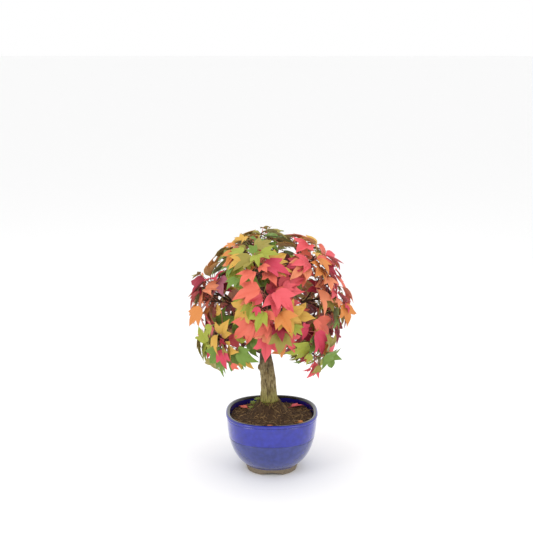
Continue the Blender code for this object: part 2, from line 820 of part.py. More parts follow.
def build_fallen_leaves(soil, finish):
    """Lays the fallen leaves on the soil, each lifted until it is just clear."""
    ground = tree_of(soil.data)
    for name, x, y, turn, length in FALLEN:
        hit, normal, _, _ = ground.ray_cast(Vector((x, y, 1)), Vector((0, 0, -1)))
        way = Vector((math.cos(math.radians(turn)), math.sin(math.radians(turn)), 0))
        midrib = (way - way.project(normal)).normalized()
        stalk = PETIOLE_SHARE * length * (midrib + FALLEN_STALK_RISE * normal).normalized()
        lift = FALLEN_STEP
        touching = True
        while touching:
            lift += FALLEN_STEP
            base = hit + lift * normal
            leaf = Leaf(base - stalk, stalk, midrib, normal, length, FALLEN_CURL)
            points, faces = leaf.surfaces(LEAF_THICKNESS + CLEARANCE, PETIOLE_RADIUS + CLEARANCE)
            probe = BVHTree.FromPolygons(points, faces)
            touching = bool(probe.overlap(ground))
        leaf_object(name, leaf, parts).data.materials.append(finish)


def fuse(mass, finish):
    """Joins a mass's twigs and leaves into one solid."""
    gathered = bpy.data.collections.new(mass.name + "_pieces")
    bpy.context.scene.collection.children.link(gathered)
    pieces = []
    for index, shoot in enumerate(mass.shoots):
        name = f"{mass.name}_shoot_{index}"
        pieces.append(add_object(name, shoot.mesh(name), None, gathered if index else parts))
    for index, leaf in enumerate(mass.leaves):
        pieces.append(leaf_object(f"{mass.name}_leaf_{index}", leaf, gathered))
    body = pieces[0]
    for solver in ("EXACT", "MANIFOLD"):
        boolean(body, "UNION", gathered, solver)
        joined = evaluated_mesh(body)
        body.modifiers.clear()
        if is_closed(joined):
            break
    keep_largest_body(joined)
    body.data = joined
    body.name = mass.name
    body.data.name = mass.name
    body.data.materials.clear()
    body.data.materials.append(finish)
    for piece in pieces[1:]:
        bpy.data.objects.remove(piece)
    bpy.data.collections.remove(gathered)
    return body


def main():
    """Builds the tree from the pot up."""
    clear_scene()
    glaze = material("cobalt_glaze", 0.060, 0.070, 0.480, 0.18)
    earth = material("moist_soil", 0.075, 0.045, 0.022, 0.95)
    bark = material("grey_tan_bark", 0.330, 0.250, 0.130, 0.85)
    tints = (
        material("coral_leaf", 0.85, 0.17, 0.14, 0.55),
        material("green_leaf", 0.27, 0.40, 0.06, 0.55),
        material("amber_leaf", 0.80, 0.34, 0.07, 0.55),
    )
    build_pot(glaze)
    soil = build_soil(earth)
    build_fallen_leaves(soil, tints[0])
    trunk = add_object("trunk", trunk_mesh("trunk", 0.0), bark, parts)
    trunk_room = add_object("trunk_room", trunk_mesh("trunk_room", CLEARANCE), None, cutters)
    trunk_room.hide_render = True
    trunk_room.display_type = "WIRE"
    masses, boughs = build_boughs(bark, trunk_room)
    limbs = [tree_of(thing.data) for thing in [trunk] + boughs]
    rng = random.Random(SEED)
    taken = []
    for mass in masses:
        grow_twigs(mass, rng, taken, limbs)
    grow_leaves(masses, rng, taken, limbs)
    for index, mass in enumerate(masses):
        fuse(mass, tints[index % len(tints)])
        print(mass.name, len(mass.shoots), "shoots", len(mass.leaves), "leaves")


main()
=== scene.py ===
"""The looks of a trident maple bonsai in autumn leaf, in a soft-square pot with a cobalt glaze.

The twigs and the leaves grow on from the limbs by the same seeded rule as the solids, and are carried on to
finer ones. Everything is in metres, with +Z up and the front facing -Y.
"""

import logging
import math
import random
from collections.abc import Callable, Sequence
from dataclasses import dataclass, field
from enum import Enum

import bmesh
import bpy
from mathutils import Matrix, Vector, noise
from mathutils.bvhtree import BVHTree
from mathutils.geometry import delaunay_2d_cdt


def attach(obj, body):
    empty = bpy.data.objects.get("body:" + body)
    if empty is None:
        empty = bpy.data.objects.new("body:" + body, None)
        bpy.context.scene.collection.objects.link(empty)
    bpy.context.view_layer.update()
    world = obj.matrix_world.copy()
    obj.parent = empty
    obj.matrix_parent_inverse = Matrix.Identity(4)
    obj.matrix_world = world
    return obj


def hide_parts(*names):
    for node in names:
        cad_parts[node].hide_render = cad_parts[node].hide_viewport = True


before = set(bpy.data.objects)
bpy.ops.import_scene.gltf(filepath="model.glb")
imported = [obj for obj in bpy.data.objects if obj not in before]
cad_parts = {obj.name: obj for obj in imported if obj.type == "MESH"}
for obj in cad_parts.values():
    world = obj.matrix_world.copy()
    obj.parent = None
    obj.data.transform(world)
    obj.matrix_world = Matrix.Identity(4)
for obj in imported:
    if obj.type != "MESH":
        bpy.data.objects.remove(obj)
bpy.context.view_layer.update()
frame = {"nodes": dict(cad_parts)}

log = logging.getLogger("bonsai")

# Driving dimensions, the same as the solids'
POT_WIDTH = 0.120
POT_HEIGHT = 0.0775
TREE_TOP = 0.322
CROWN_WIDTH = 0.218
LEAF_LENGTH = 0.031
CLEARANCE = 0.0003
MM = 0.001

# Points closer than this are one point
WELD = 0.000001

# The middle of a noise texture's values
NOISE_MIDDLE = 0.5

UP = Vector((0, 0, 1))
DOWN = Vector((0, 0, -1))


def linear(colour: str) -> tuple[float, float, float, float]:
    """Turns an sRGB hex colour into linear values, by the sRGB curve.

    Args:
        colour: six hex digits after a hash.

    Returns:
        Red, green, blue and an alpha of one.
    """
    values = []
    for start in (1, 3, 5):
        share = int(colour[start : start + 2], 16) / 255
        values.append(share / 12.92 if share <= 0.04045 else ((share + 0.055) / 1.055) ** 2.4)
    return (values[0], values[1], values[2], 1.0)


def add_node(
    tree: bpy.types.NodeTree, kind: str, links: dict | None = None, **settings: object
) -> bpy.types.Node:
    """Adds one shader node.

    Args:
        tree: the material's node tree.
        kind: the node's type.
        links: for an input's name or number, its value, or the output socket that feeds it.
        settings: the node's own properties.

    Returns:
        The new node.
    """
    made = tree.nodes.new(kind)
    for name, value in settings.items():
        setattr(made, name, value)
    for name, value in (links or {}).items():
        if isinstance(value, bpy.types.NodeSocket):
            tree.links.new(value, made.inputs[name])
        else:
            made.inputs[name].default_value = value
    return made


# Where a Mix node of colours has its two colours and its result
MIX_A, MIX_B, MIX_RESULT = 6, 7, 2


@dataclass(frozen=True)
class Finish:
    """A finish: its name, and the shader's constant values."""

    name: str
    roughness: float = 0.5
    ior: float = 1.5
    coat: float = 0.0
    coat_roughness: float = 0.03

    def start(self) -> tuple[bpy.types.Material, bpy.types.NodeTree, bpy.types.Node]:
        """Makes the material with its constant values set.

        Returns:
            The material, its node tree and its Principled shader.
        """
        made = bpy.data.materials.new(self.name)
        made.use_nodes = True
        shader = made.node_tree.nodes["Principled BSDF"]
        shader.inputs["Roughness"].default_value = self.roughness
        shader.inputs["IOR"].default_value = self.ior
        shader.inputs["Coat Weight"].default_value = self.coat
        shader.inputs["Coat Roughness"].default_value = self.coat_roughness
        return made, made.node_tree, shader


@dataclass(frozen=True)
class CobaltGlaze(Finish):
    """Glossy cobalt glaze on stoneware, dipped and fired.

    It is deep blue with darker clouds, under a clear gloss that ripples a little, and it runs thin and brown
    where it breaks over an edge.
    """

    name: str = "cobalt_glaze_on_stoneware"
    roughness: float = 0.16
    coat: float = 0.6
    wall: str = "#20279A"
    belly: str = "#2C3680"
    # The inside is painted a darker blue: painted shade in the pot's hollow
    inside: str = "#130D70"
    breaking: str = "#22211D"
    # The groove is painted a dark grey-blue line: darker glaze there, and partly painted shade of the
    # incision
    groove: str = "#2E3450"
    mottle_mm: float = 7.0
    mottle_detail: float = 5.0
    mottle_from: float = 0.35
    mottle_to: float = 0.65
    darkest: float = 0.80
    lightest: float = 1.14
    worn_from: float = 0.95
    worn_to: float = 1.25
    ripple_mm: float = 1.4
    ripple_detail: float = 2.0
    ripple_depth_mm: float = 0.2
    ripple_strength: float = 0.10
    wall_from: float = 0.0468
    wall_to: float = 0.0478

    def material(self) -> bpy.types.Material:
        """Builds the glaze: its blue by height, mottled, and worn through where the surface says so.

        Returns:
            The glaze.
        """
        made, tree, shader = self.start()
        place = add_node(tree, "ShaderNodeTexCoord").outputs["Object"]
        height = add_node(tree, "ShaderNodeSeparateXYZ", {0: place}).outputs["Z"]
        upper = add_node(
            tree,
            "ShaderNodeMapRange",
            {"Value": height, "From Min": self.wall_from, "From Max": self.wall_to},
            clamp=True,
        ).outputs[0]
        blue = add_node(
            tree,
            "ShaderNodeMix",
            {0: upper, MIX_A: linear(self.belly), MIX_B: linear(self.wall)},
            data_type="RGBA",
        ).outputs[MIX_RESULT]
        spots = add_node(
            tree,
            "ShaderNodeTexNoise",
            {"Vector": place, "Scale": 1 / (self.mottle_mm * MM), "Detail": self.mottle_detail},
        ).outputs[0]
        tone = add_node(
            tree,
            "ShaderNodeMapRange",
            {
                "Value": spots,
                "From Min": self.mottle_from,
                "From Max": self.mottle_to,
                "To Min": self.darkest,
                "To Max": self.lightest,
            },
            clamp=True,
        ).outputs[0]
        colour = add_node(tree, "ShaderNodeVectorMath", {0: blue, 1: tone}, operation="MULTIPLY").outputs[0]
        # The inside is painted a darker blue as shade in the hollow, and the groove a darker line, partly
        # painted shade
        for mask, tint in ((Zone.INSIDE, self.inside), (Zone.GROOVE, self.groove)):
            share = add_node(tree, "ShaderNodeAttribute", attribute_name=mask.value).outputs["Fac"]
            colour = add_node(
                tree, "ShaderNodeMix", {0: share, MIX_A: colour, MIX_B: linear(tint)}, data_type="RGBA"
            ).outputs[MIX_RESULT]
        worn = add_node(tree, "ShaderNodeAttribute", attribute_name=Zone.BREAKING.value).outputs["Fac"]
        ragged = add_node(tree, "ShaderNodeMath", {0: worn, 1: spots}, operation="ADD").outputs[0]
        share = add_node(
            tree,
            "ShaderNodeMapRange",
            {"Value": ragged, "From Min": self.worn_from, "From Max": self.worn_to},
            clamp=True,
        ).outputs[0]
        colour = add_node(
            tree, "ShaderNodeMix", {0: share, MIX_A: colour, MIX_B: linear(self.breaking)}, data_type="RGBA"
        ).outputs[MIX_RESULT]
        tree.links.new(colour, shader.inputs["Base Color"])
        ripple = add_node(
            tree,
            "ShaderNodeTexNoise",
            {"Vector": place, "Scale": 1 / (self.ripple_mm * MM), "Detail": self.ripple_detail},
        ).outputs[0]
        bump = add_node(
            tree,
            "ShaderNodeBump",
            {"Height": ripple, "Strength": self.ripple_strength, "Distance": self.ripple_depth_mm * MM},
        ).outputs[0]
        tree.links.new(bump, shader.inputs["Normal"])
        return made


@dataclass(frozen=True)
class Grained(Finish):
    """A matte finish in two colours: bare clay, soil, straw, moss, thin bark and leaf stalks.

    Its grain mottles it and roughens it. The grain is stretched along Z where it is longer than it is wide.
    """

    dark: str = "#000000"
    light: str = "#FFFFFF"
    grain_mm: float = 1.0
    stretch: float = 1.0
    contrast: float = 0.25
    detail: float = 6.0
    fineness: float = 0.62
    bump_mm: float = 0.3
    strength: float = 0.6

    def material(self) -> bpy.types.Material:
        """Builds the grain in object space.

        Returns:
            The grained finish.
        """
        made, tree, shader = self.start()
        place = add_node(tree, "ShaderNodeTexCoord").outputs["Object"]
        stretched = add_node(
            tree, "ShaderNodeMapping", {"Vector": place, "Scale": (1.0, 1.0, 1 / self.stretch)}
        ).outputs[0]
        grain = add_node(
            tree,
            "ShaderNodeTexNoise",
            {
                "Vector": stretched,
                "Scale": 1 / (self.grain_mm * MM),
                "Detail": self.detail,
                "Roughness": self.fineness,
            },
        ).outputs[0]
        low, high = NOISE_MIDDLE - self.contrast, NOISE_MIDDLE + self.contrast
        share = add_node(
            tree, "ShaderNodeMapRange", {"Value": grain, "From Min": low, "From Max": high}, clamp=True
        ).outputs[0]
        colour = add_node(
            tree,
            "ShaderNodeMix",
            {0: share, MIX_A: linear(self.dark), MIX_B: linear(self.light)},
            data_type="RGBA",
        ).outputs[MIX_RESULT]
        tree.links.new(colour, shader.inputs["Base Color"])
        bump = add_node(
            tree,
            "ShaderNodeBump",
            {"Height": grain, "Strength": self.strength, "Distance": self.bump_mm * MM},
        ).outputs[0]
        tree.links.new(bump, shader.inputs["Normal"])
        return made


# Bare fired clay: dull and sandy, a little mottled
BARE_CLAY = Grained(
    "unglazed_stoneware", roughness=0.85, dark="#5B5044", light="#9A8A72", grain_mm=1.6, bump_mm=0.2
)

# Moist earth: dark, crumbly and rough
MOIST_SOIL = Grained(
    "moist_fibrous_soil", roughness=0.93, dark="#241A10", light="#6B4F33", grain_mm=1.7, bump_mm=0.7
)

# Dry straw is pale, and fine dead roots are dark: both dull
DRY_STRAW = Grained("dry_straw", roughness=0.8, dark="#8C6B42", light="#C9A56E", grain_mm=1.1)
DARK_ROOTLETS = Grained("dark_rootlets", roughness=0.9, dark="#2E2014", light="#5C4129", grain_mm=1.1)

# Moss is a dull yellow-green, and seedlings are a fresher green with a little gloss
MOSS = Grained("moss", roughness=0.9, dark="#66702A", light="#A8A244", grain_mm=1.2)
SEEDLING_GREEN = Grained("seedling_green", roughness=0.6, dark="#6F8A2C", light="#A3AE48", grain_mm=1.5)

# The thin bark of young twigs: brown, with a fine grain along them
TWIG_BARK = Grained(
    "twig_bark",
    roughness=0.75,
    dark="#33241A",
    light="#6B4C36",
    grain_mm=1.5,
    stretch=3.0,
    bump_mm=0.15,
)

# Leaf stalks are smooth and a little waxy: most are red, some green
STALK_SKINS = {
    "red": Grained("red_leaf_stalk", roughness=0.5, dark="#A8454A", light="#CF7A66", grain_mm=4.0),
    "green": Grained("green_leaf_stalk", roughness=0.5, dark="#93A24A", light="#B9B062", grain_mm=4.0),
}


@dataclass(frozen=True)
class MapleBark(Finish):
    """Living bark of a small maple, dry and matte.

    It is pale tan-grey in patches, with fine upright cracks, darker up in the crown and mossy at the foot.
    """

    name: str = "maple_bark"
    roughness: float = 0.86
    pale: str = "#B3A274"
    tan: str = "#7F6C45"
    crack: str = "#4A3C28"
    upper: str = "#6A5540"
    upper_dark: str = "#35271C"
    lichen: str = "#9A9742"
    patch_mm: float = 7.0
    patch_detail: float = 4.0
    patch_from: float = 0.38
    patch_to: float = 0.62
    crack_mm: float = 1.5
    crack_detail: float = 5.0
    crack_fineness: float = 0.6
    crack_from: float = 0.50
    crack_to: float = 0.34
    crack_depth_mm: float = 0.5
    crack_strength: float = 0.8
    stretch: float = 6.0
    dark_from: float = 0.128
    dark_to: float = 0.150
    moss_from: float = 0.108
    moss_to: float = 0.086
    moss_share: float = 1.5

    def material(self) -> bpy.types.Material:
        """Builds the bark: patches, upright cracks, the darker crown and the mossy foot.

        Returns:
            The bark.
        """
        made, tree, shader = self.start()
        place = add_node(tree, "ShaderNodeTexCoord").outputs["Object"]
        height = add_node(tree, "ShaderNodeSeparateXYZ", {0: place}).outputs["Z"]
        upright = add_node(
            tree, "ShaderNodeMapping", {"Vector": place, "Scale": (1.0, 1.0, 1 / self.stretch)}
        ).outputs[0]
        patches = add_node(
            tree,
            "ShaderNodeTexNoise",
            {"Vector": place, "Scale": 1 / (self.patch_mm * MM), "Detail": self.patch_detail},
        ).outputs[0]
        cracks = add_node(
            tree,
            "ShaderNodeTexNoise",
            {
                "Vector": upright,
                "Scale": 1 / (self.crack_mm * MM),
                "Detail": self.crack_detail,
                "Roughness": self.crack_fineness,
            },
        ).outputs[0]
        patch = add_node(
            tree,
            "ShaderNodeMapRange",
            {"Value": patches, "From Min": self.patch_from, "From Max": self.patch_to},
            clamp=True,
        ).outputs[0]
        crack = add_node(
            tree,
            "ShaderNodeMapRange",
            {"Value": cracks, "From Min": self.crack_from, "From Max": self.crack_to},
            clamp=True,
        ).outputs[0]
        low = add_node(
            tree,
            "ShaderNodeMix",
            {0: patch, MIX_A: linear(self.tan), MIX_B: linear(self.pale)},
            data_type="RGBA",
        ).outputs[MIX_RESULT]
        high = add_node(
            tree,
            "ShaderNodeMix",
            {0: patch, MIX_A: linear(self.upper_dark), MIX_B: linear(self.upper)},
            data_type="RGBA",
        ).outputs[MIX_RESULT]
        climb = add_node(
            tree,
            "ShaderNodeMapRange",
            {"Value": height, "From Min": self.dark_from, "From Max": self.dark_to},
            clamp=True,
        ).outputs[0]
        colour = add_node(
            tree, "ShaderNodeMix", {0: climb, MIX_A: low, MIX_B: high}, data_type="RGBA"
        ).outputs[MIX_RESULT]
        foot = add_node(
            tree,
            "ShaderNodeMapRange",
            {
                "Value": height,
                "From Min": self.moss_from,
                "From Max": self.moss_to,
                "To Max": self.moss_share,
            },
            clamp=True,
        ).outputs[0]
        mossy = add_node(tree, "ShaderNodeMath", {0: foot, 1: patches}, operation="MULTIPLY", use_clamp=True)
        colour = add_node(
            tree,
            "ShaderNodeMix",
            {0: mossy.outputs[0], MIX_A: colour, MIX_B: linear(self.lichen)},
            data_type="RGBA",
        ).outputs[MIX_RESULT]
        colour = add_node(
            tree, "ShaderNodeMix", {0: crack, MIX_A: colour, MIX_B: linear(self.crack)}, data_type="RGBA"
        ).outputs[MIX_RESULT]
        tree.links.new(colour, shader.inputs["Base Color"])
        bump = add_node(
            tree,
            "ShaderNodeBump",
            {"Height": cracks, "Strength": self.crack_strength, "Distance": self.crack_depth_mm * MM},
        ).outputs[0]
        tree.links.new(bump, shader.inputs["Normal"])
        return made


@dataclass(frozen=True)
class PlainFinish(Finish):
    """A finish in one plain colour with a weak sheen."""

    colour: str = "#FFFFFF"
    ior: float = 1.42
    specular: float = 0.35

    def material(self) -> bpy.types.Material:
        """Builds the plain colour, the same wherever the piece lies.

        Returns:
            The plain finish.
        """
        made, _, shader = self.start()
        shader.inputs["Base Color"].default_value = linear(self.colour)
        shader.inputs["Specular IOR Level"].default_value = self.specular
        return made


@dataclass(frozen=True)
class LeafSkin(PlainFinish):
    """The skin of a leaf, thin and slightly waxy, which gives it a faint soft sheen."""

    roughness: float = 0.48


class Tint(Enum):
    """The autumn colours of the leaves, each as the upper side and the paler underside."""

    GREEN = ("#6F8A3A", "#8A9A6C")
    LIME = ("#9CA23E", "#A8AA6A")
    OLIVE = ("#968A42", "#A09668")
    GOLD = ("#CDA24A", "#C2A46E")
    AMBER = ("#D08444", "#C4926A")
    PEACH = ("#E08A64", "#D29A80")
    SALMON = ("#DC6C58", "#D08678")
    CORAL = ("#DC5A62", "#CE7C80")
    ROSE = ("#C94258", "#BC6A74")
    CRIMSON = ("#9C2F40", "#985A60")
    MAUVE = ("#A7606F", "#A68088")
    RUSSET = ("#A8503A", "#A0705C")

    @property
    def top(self) -> str:
        """The upper side's colour."""
        return self.value[0]

    @property
    def under(self) -> str:
        """The underside's colour."""
        return self.value[1]


class Zone(Enum):
    """The zones of the pot's surface. Their names are the masks that the glaze reads."""

    BARE = "bare"
    WALL = "wall"
    GROOVE = "groove"
    BREAKING = "breaking"
    INSIDE = "inside"


def wrapped(
    around: int,
    along: int,
    point: Callable[[float, float], Vector],
    layers: dict[str, Callable[[float, float], float]] | None = None,
) -> bmesh.types.BMesh:
    """Wraps a grid into a closed tube or ring.

    Args:
        around: faces round the tube.
        along: faces along it.
        point: gives the place of each grid point from its shares around and along.
        layers: names of values kept on the points, each with its rule from the same two shares.

    Returns:
        The closed bmesh, with its ends filled where the tube has ends.
    """
    bm = bmesh.new()
    bmesh.ops.create_grid(bm, x_segments=around, y_segments=along, size=0.5)
    low = min(vertex.co.x for vertex in bm.verts)
    span = max(vertex.co.x for vertex in bm.verts) - low
    rules = {bm.verts.layers.float.new(name): rule for name, rule in (layers or {}).items()}
    for vertex in bm.verts:
        u, v = (vertex.co.x - low) / span, (vertex.co.y - low) / span
        for layer, rule in rules.items():
            vertex[layer] = rule(u, v)
        vertex.co = point(u, v)
    bmesh.ops.remove_doubles(bm, verts=bm.verts, dist=WELD)
    rims = [edge for edge in bm.edges if edge.is_boundary]
    if rims:
        bmesh.ops.holes_fill(bm, edges=rims, sides=0)
    bmesh.ops.recalc_face_normals(bm, faces=bm.faces)
    return bm


def add_piece(
    name: str, mesh: bpy.types.Mesh, finishes: Sequence[bpy.types.Material], slot: str, *nodes: str
) -> bpy.types.Object:
    """Adds a finished piece that rides on the part and may stand for some of its nodes.

    Args:
        name: the piece's name.
        mesh: its mesh, in place.
        finishes: its materials, in the order of the faces' numbers.
        slot: not used.
        nodes: the nodes that it replaces.

    Returns:
        The new object.
    """
    for finish in finishes:
        mesh.materials.append(finish)
    piece = bpy.data.objects.new(name, mesh)
    bpy.context.scene.collection.objects.link(piece)
    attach(piece, "root")
    if nodes:
        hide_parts(*nodes)
    log.info("%s: %d faces", name, len(mesh.polygons))
    return piece


def mesh_of(name: str, bm: bmesh.types.BMesh, smooth: bool = True) -> bpy.types.Mesh:
    """Turns a bmesh into a mesh and frees it.

    Args:
        name: the mesh's name.
        bm: the bmesh, which is freed.
        smooth: whether its faces are shaded smooth.

    Returns:
        The mesh.
    """
    mesh = bpy.data.meshes.new(name)
    bm.to_mesh(mesh)
    bm.free()
    mesh.polygons.foreach_set("use_smooth", [smooth] * len(mesh.polygons))
    return mesh


@dataclass
class Heap:
    """Many small closed things, joined as arrays into one mesh."""

    name: str
    points: list = field(default_factory=list)
    faces: list = field(default_factory=list)
    kinds: list = field(default_factory=list)

    def add(self, points: Sequence, faces: Sequence, kinds: Sequence[int] | int = 0) -> None:
        """Adds one thing.

        Args:
            points: its points.
            faces: its faces, as numbers of its own points.
            kinds: the material number of each face, or of all.
        """
        start = len(self.points)
        self.points.extend(tuple(point) for point in points)
        self.faces.extend(tuple(start + corner for corner in face) for face in faces)
        self.kinds.extend([kinds] * len(faces) if isinstance(kinds, int) else kinds)

    def mesh(self, smooth: bool = False) -> bpy.types.Mesh:
        """Joins what was added into one mesh.

        Args:
            smooth: whether its faces are shaded smooth.

        Returns:
            The mesh.
        """
        mesh = bpy.data.meshes.new(self.name)
        mesh.from_pydata(self.points, [], self.faces)
        mesh.polygons.foreach_set("material_index", self.kinds)
        mesh.polygons.foreach_set("use_smooth", [smooth] * len(self.faces))
        mesh.update()
        return mesh


def tube(line: Sequence[Vector], radii: Sequence[float], sides: int) -> tuple[list[Vector], list[tuple]]:
    """Gives a closed round tube along a line.

    Args:
        line: the points of its axis.
        radii: the radius at each point.
        sides: how many sides it has.

    Returns:
        Its points and its faces.
    """
    points, faces = [], []
    side = (line[1] - line[0]).orthogonal().normalized()
    for index, point in enumerate(line):
        along = (line[min(index + 1, len(line) - 1)] - line[max(index - 1, 0)]).normalized()
        side = (side - side.project(along)).normalized()
        other = along.cross(side)
        for step in range(sides):
            angle = math.tau * step / sides
            points.append(point + radii[index] * (math.cos(angle) * side + math.sin(angle) * other))
    for ring in range(len(line) - 1):
        for step in range(sides):
            after = (step + 1) % sides
            low, high = ring * sides, (ring + 1) * sides
            faces.append((low + step, low + after, high + after, high + step))
    faces.append(tuple(reversed(range(sides))))
    faces.append(tuple(range((len(line) - 1) * sides, len(line) * sides)))
    return points, faces


def arc(start: Vector, bend: Vector, end: Vector, steps: int) -> list[Vector]:
    """Gives points on one smooth arc from start to end, pulled towards a bend.

    Args:
        start: its first point.
        bend: the point that it is pulled towards.
        end: its last point.
        steps: how many steps it has.

    Returns:
        Its points, one more than its steps.
    """
    shares = [step / steps for step in range(steps + 1)]
    return [(1 - t) ** 2 * start + 2 * t * (1 - t) * bend + t**2 * end for t in shares]


def bumpy(place: Vector, size: float, octaves: int = 3, fall: float = 1.0, finer: float = 2.0) -> float:
    """Gives smooth noise from about -1 to 1, with bumps of a size and finer, lower ones on them."""
    return noise.fractal(place / size, fall, finer, octaves, noise_basis="PERLIN_ORIGINAL")


def level_way(angle: float) -> Vector:
    """Gives the level direction at an angle from +X."""
    return Vector((math.cos(angle), math.sin(angle), 0))


def ramp(value: float, span: float) -> float:
    """Gives a value's share of a span, from nought to one."""
    return min(max(value / span, 0.0), 1.0)


# Pot and soil


@dataclass
class Pot:
    """The pot: a soft-square bowl with a rolled lip, a turned groove and four low feet."""

    rim_half: float = POT_WIDTH / 2
    foot_half: float = 0.296 * POT_WIDTH
    toe_in: float = 0.0022
    toe_curve: float = 1.4
    toe_rows: tuple = (0.2, 0.4, 0.6, 0.8, 0.97)
    toe_rounding: float = 0.0005
    edge_rounding: float = 0.0004
    foot_height: float = 0.0084
    foot_wall: float = 0.0085
    foot_slope: float = 0.0015
    # Bends of the belly's curve, as shares of the foot's and the rim's half width, and of the height
    belly_bends: tuple = ((1.33, 0.22), (0.965, 0.42))
    belly_halvings: int = 30
    wall: float = 0.0048
    wall_rows: int = 44
    inner_rows: int = 14
    lip_height: float = 0.0046
    lip_width: float = 0.0056
    lip_proud: float = 0.0011
    lip_degrees: range = range(-70, 171, 12)
    breaking_degrees: int = 72
    floor_underside: float = 0.0062
    floor_top: float = 0.0125
    groove_height: float = 0.61 * POT_HEIGHT
    groove_width: float = 0.0014
    groove_depth: float = 0.0006
    # Shares of half the groove's width, and of its depth
    groove_rows: tuple = (
        (-1.0, 0.0),
        (-0.45, 0.15),
        (-0.2, 0.85),
        (0.0, 1.0),
        (0.2, 0.85),
        (0.45, 0.15),
        (1.0, 0.0),
    )
    drain_radius: float = 0.0055
    arch_width: float = 0.0275
    arch_height: float = 0.0034
    arch_inner_share: float = 0.5
    glaze_thickness: float = 0.00035
    glaze_run_rows: float = 1.5
    bare_corners: float = 2.5
    round_power: float = 2.0
    foot_squareness: float = 2.1
    rim_squareness: float = 2.5
    sides: int = 176

    def belly_half(self, height: float) -> float:
        """Gives the half width of the outer wall at a height.

        Args:
            height: the height over the ground.

        Returns:
            The half width, by halving the curve until its point is at the height.
        """
        (low_out, low_up), (high_out, high_up) = self.belly_bends
        curve = (
            Vector((self.foot_half, self.foot_height)),
            Vector((low_out * self.foot_half, low_up * POT_HEIGHT)),
            Vector((high_out * self.rim_half, high_up * POT_HEIGHT)),
            Vector((self.rim_half - self.lip_proud, POT_HEIGHT - self.lip_height)),
        )
        low, high = 0.0, 1.0
        for _ in range(self.belly_halvings):
            middle = (low + high) / 2
            rest = 1 - middle
            shares = (rest**3, 3 * rest**2 * middle, 3 * rest * middle**2, middle**3)
            point = sum((share * corner for share, corner in zip(shares, curve)), Vector((0, 0)))
            if point.y < height:
                low = middle
            else:
                high = middle
        return point.x

    def squareness(self, height: float) -> float:
        """Gives how square the pot is at a height."""
        return self.foot_squareness + (self.rim_squareness - self.foot_squareness) * height / POT_HEIGHT

    def ring_point(self, half: float, height: float, u: float) -> Vector:
        """Gives a point of the soft square of a half width at a height, at a share of the turn.

        Args:
            half: the half width.
            height: the height.
            u: the share of the turn.

        Returns:
            The point.
        """
        angle = math.tau * u
        square = self.round_power if half <= self.drain_radius else self.squareness(height)
        across = abs(math.cos(angle)) ** square + abs(math.sin(angle)) ** square
        radius = half / across ** (1 / square)
        return Vector((radius * math.cos(angle), radius * math.sin(angle), height))

    def section(self) -> list[tuple[float, float, Zone]]:
        """Gives the section as half width, height and zone, from the foot up, over the lip and in.

        Returns:
            The rows, the first of them again at the end, so that the section is closed.
        """
        toe = self.foot_half - self.toe_in
        rounding = self.edge_rounding
        rows = [(toe, 0.0, Zone.BARE), (toe + self.toe_rounding, rounding, Zone.BARE)]
        for share in self.toe_rows:
            half = self.foot_half - self.toe_in * (1 - share) ** self.toe_curve
            rows.append((half, share * self.foot_height, Zone.BARE))
        top = POT_HEIGHT - self.lip_height
        for step in range(self.wall_rows + 1):
            height = self.foot_height + (top - self.foot_height) * step / self.wall_rows
            if abs(height - self.groove_height) > self.groove_width:
                thickness = self.glaze_thickness * min(1.0, step / self.glaze_run_rows)
                rows.append((self.belly_half(height) + thickness - self.glaze_thickness, height, Zone.WALL))
        for offset, depth in self.groove_rows:
            height = self.groove_height + offset * self.groove_width / 2
            zone = Zone.GROOVE if depth > 0.5 else Zone.WALL
            rows.append((self.belly_half(height) - depth * self.groove_depth, height, zone))
        rows.sort(key=lambda row: row[1])
        middle = self.rim_half - self.lip_width / 2
        for degrees in self.lip_degrees:
            angle = math.radians(degrees)
            out = middle + self.lip_width / 2 * math.cos(angle)
            height = POT_HEIGHT - self.lip_height / 2 + self.lip_height / 2 * math.sin(angle)
            zone = Zone.WALL if degrees < self.breaking_degrees else Zone.BREAKING
            rows.append((out, height, zone))
        for step in range(self.inner_rows + 1):
            height = top + (self.floor_top - top) * step / self.inner_rows
            rows.append((self.belly_half(height) - self.wall, height, Zone.INSIDE))
        bore = toe - self.foot_wall
        rows += [
            (self.drain_radius, self.floor_top, Zone.BARE),
            (self.drain_radius, self.floor_underside, Zone.BARE),
            (bore - self.foot_slope, self.floor_underside, Zone.BARE),
            (bore - rounding, rounding, Zone.BARE),
            (bore, 0.0, Zone.BARE),
            rows[0],
        ]
        return rows

    def build(self) -> bpy.types.Object:
        """Builds the pot from its section and lifts the arches between its feet.

        Returns:
            The pot.
        """
        rows = self.section()
        last = len(rows) - 1
        radius = ((self.arch_width / 2) ** 2 + self.arch_height**2) / (2 * self.arch_height)

        def point(u: float, v: float) -> Vector:
            """Gives the section's point turned round the pot, lifted where an arch opens the foot.

            Args:
                u: the share of the turn.
                v: the share of the section's rows.

            Returns:
                The point.
            """
            half, height, _ = rows[round(v * last)]
            made = self.ring_point(half, height, u)
            across = min(abs(made.x), abs(made.y))
            in_foot = self.arch_inner_share * self.foot_half < half and height < self.floor_underside
            if in_foot and across < self.arch_width / 2:
                arch = self.arch_height - radius + math.sqrt(radius**2 - across**2)
                made.z = arch + height * (1 - arch / self.foot_height)
            return made

        def mask(zone: Zone) -> Callable[[float, float], float]:
            """Gives the rule of a zone's mask: one in the zone, nought out of it."""
            return lambda u, v: float(rows[round(v * last)][2] is zone)

        zones = (Zone.BREAKING, Zone.INSIDE, Zone.GROOVE, Zone.BARE)
        bm = wrapped(self.sides, last, point, {zone.value: mask(zone) for zone in zones})
        bare = bm.verts.layers.float[Zone.BARE.value]
        for face in bm.faces:
            face.material_index = int(sum(vertex[bare] for vertex in face.verts) > self.bare_corners)
        mesh = mesh_of("glazed_pot", bm)
        skins = [CobaltGlaze().material(), BARE_CLAY.material()]
        return add_piece("glazed_pot", mesh, skins, "glaze", "pot")


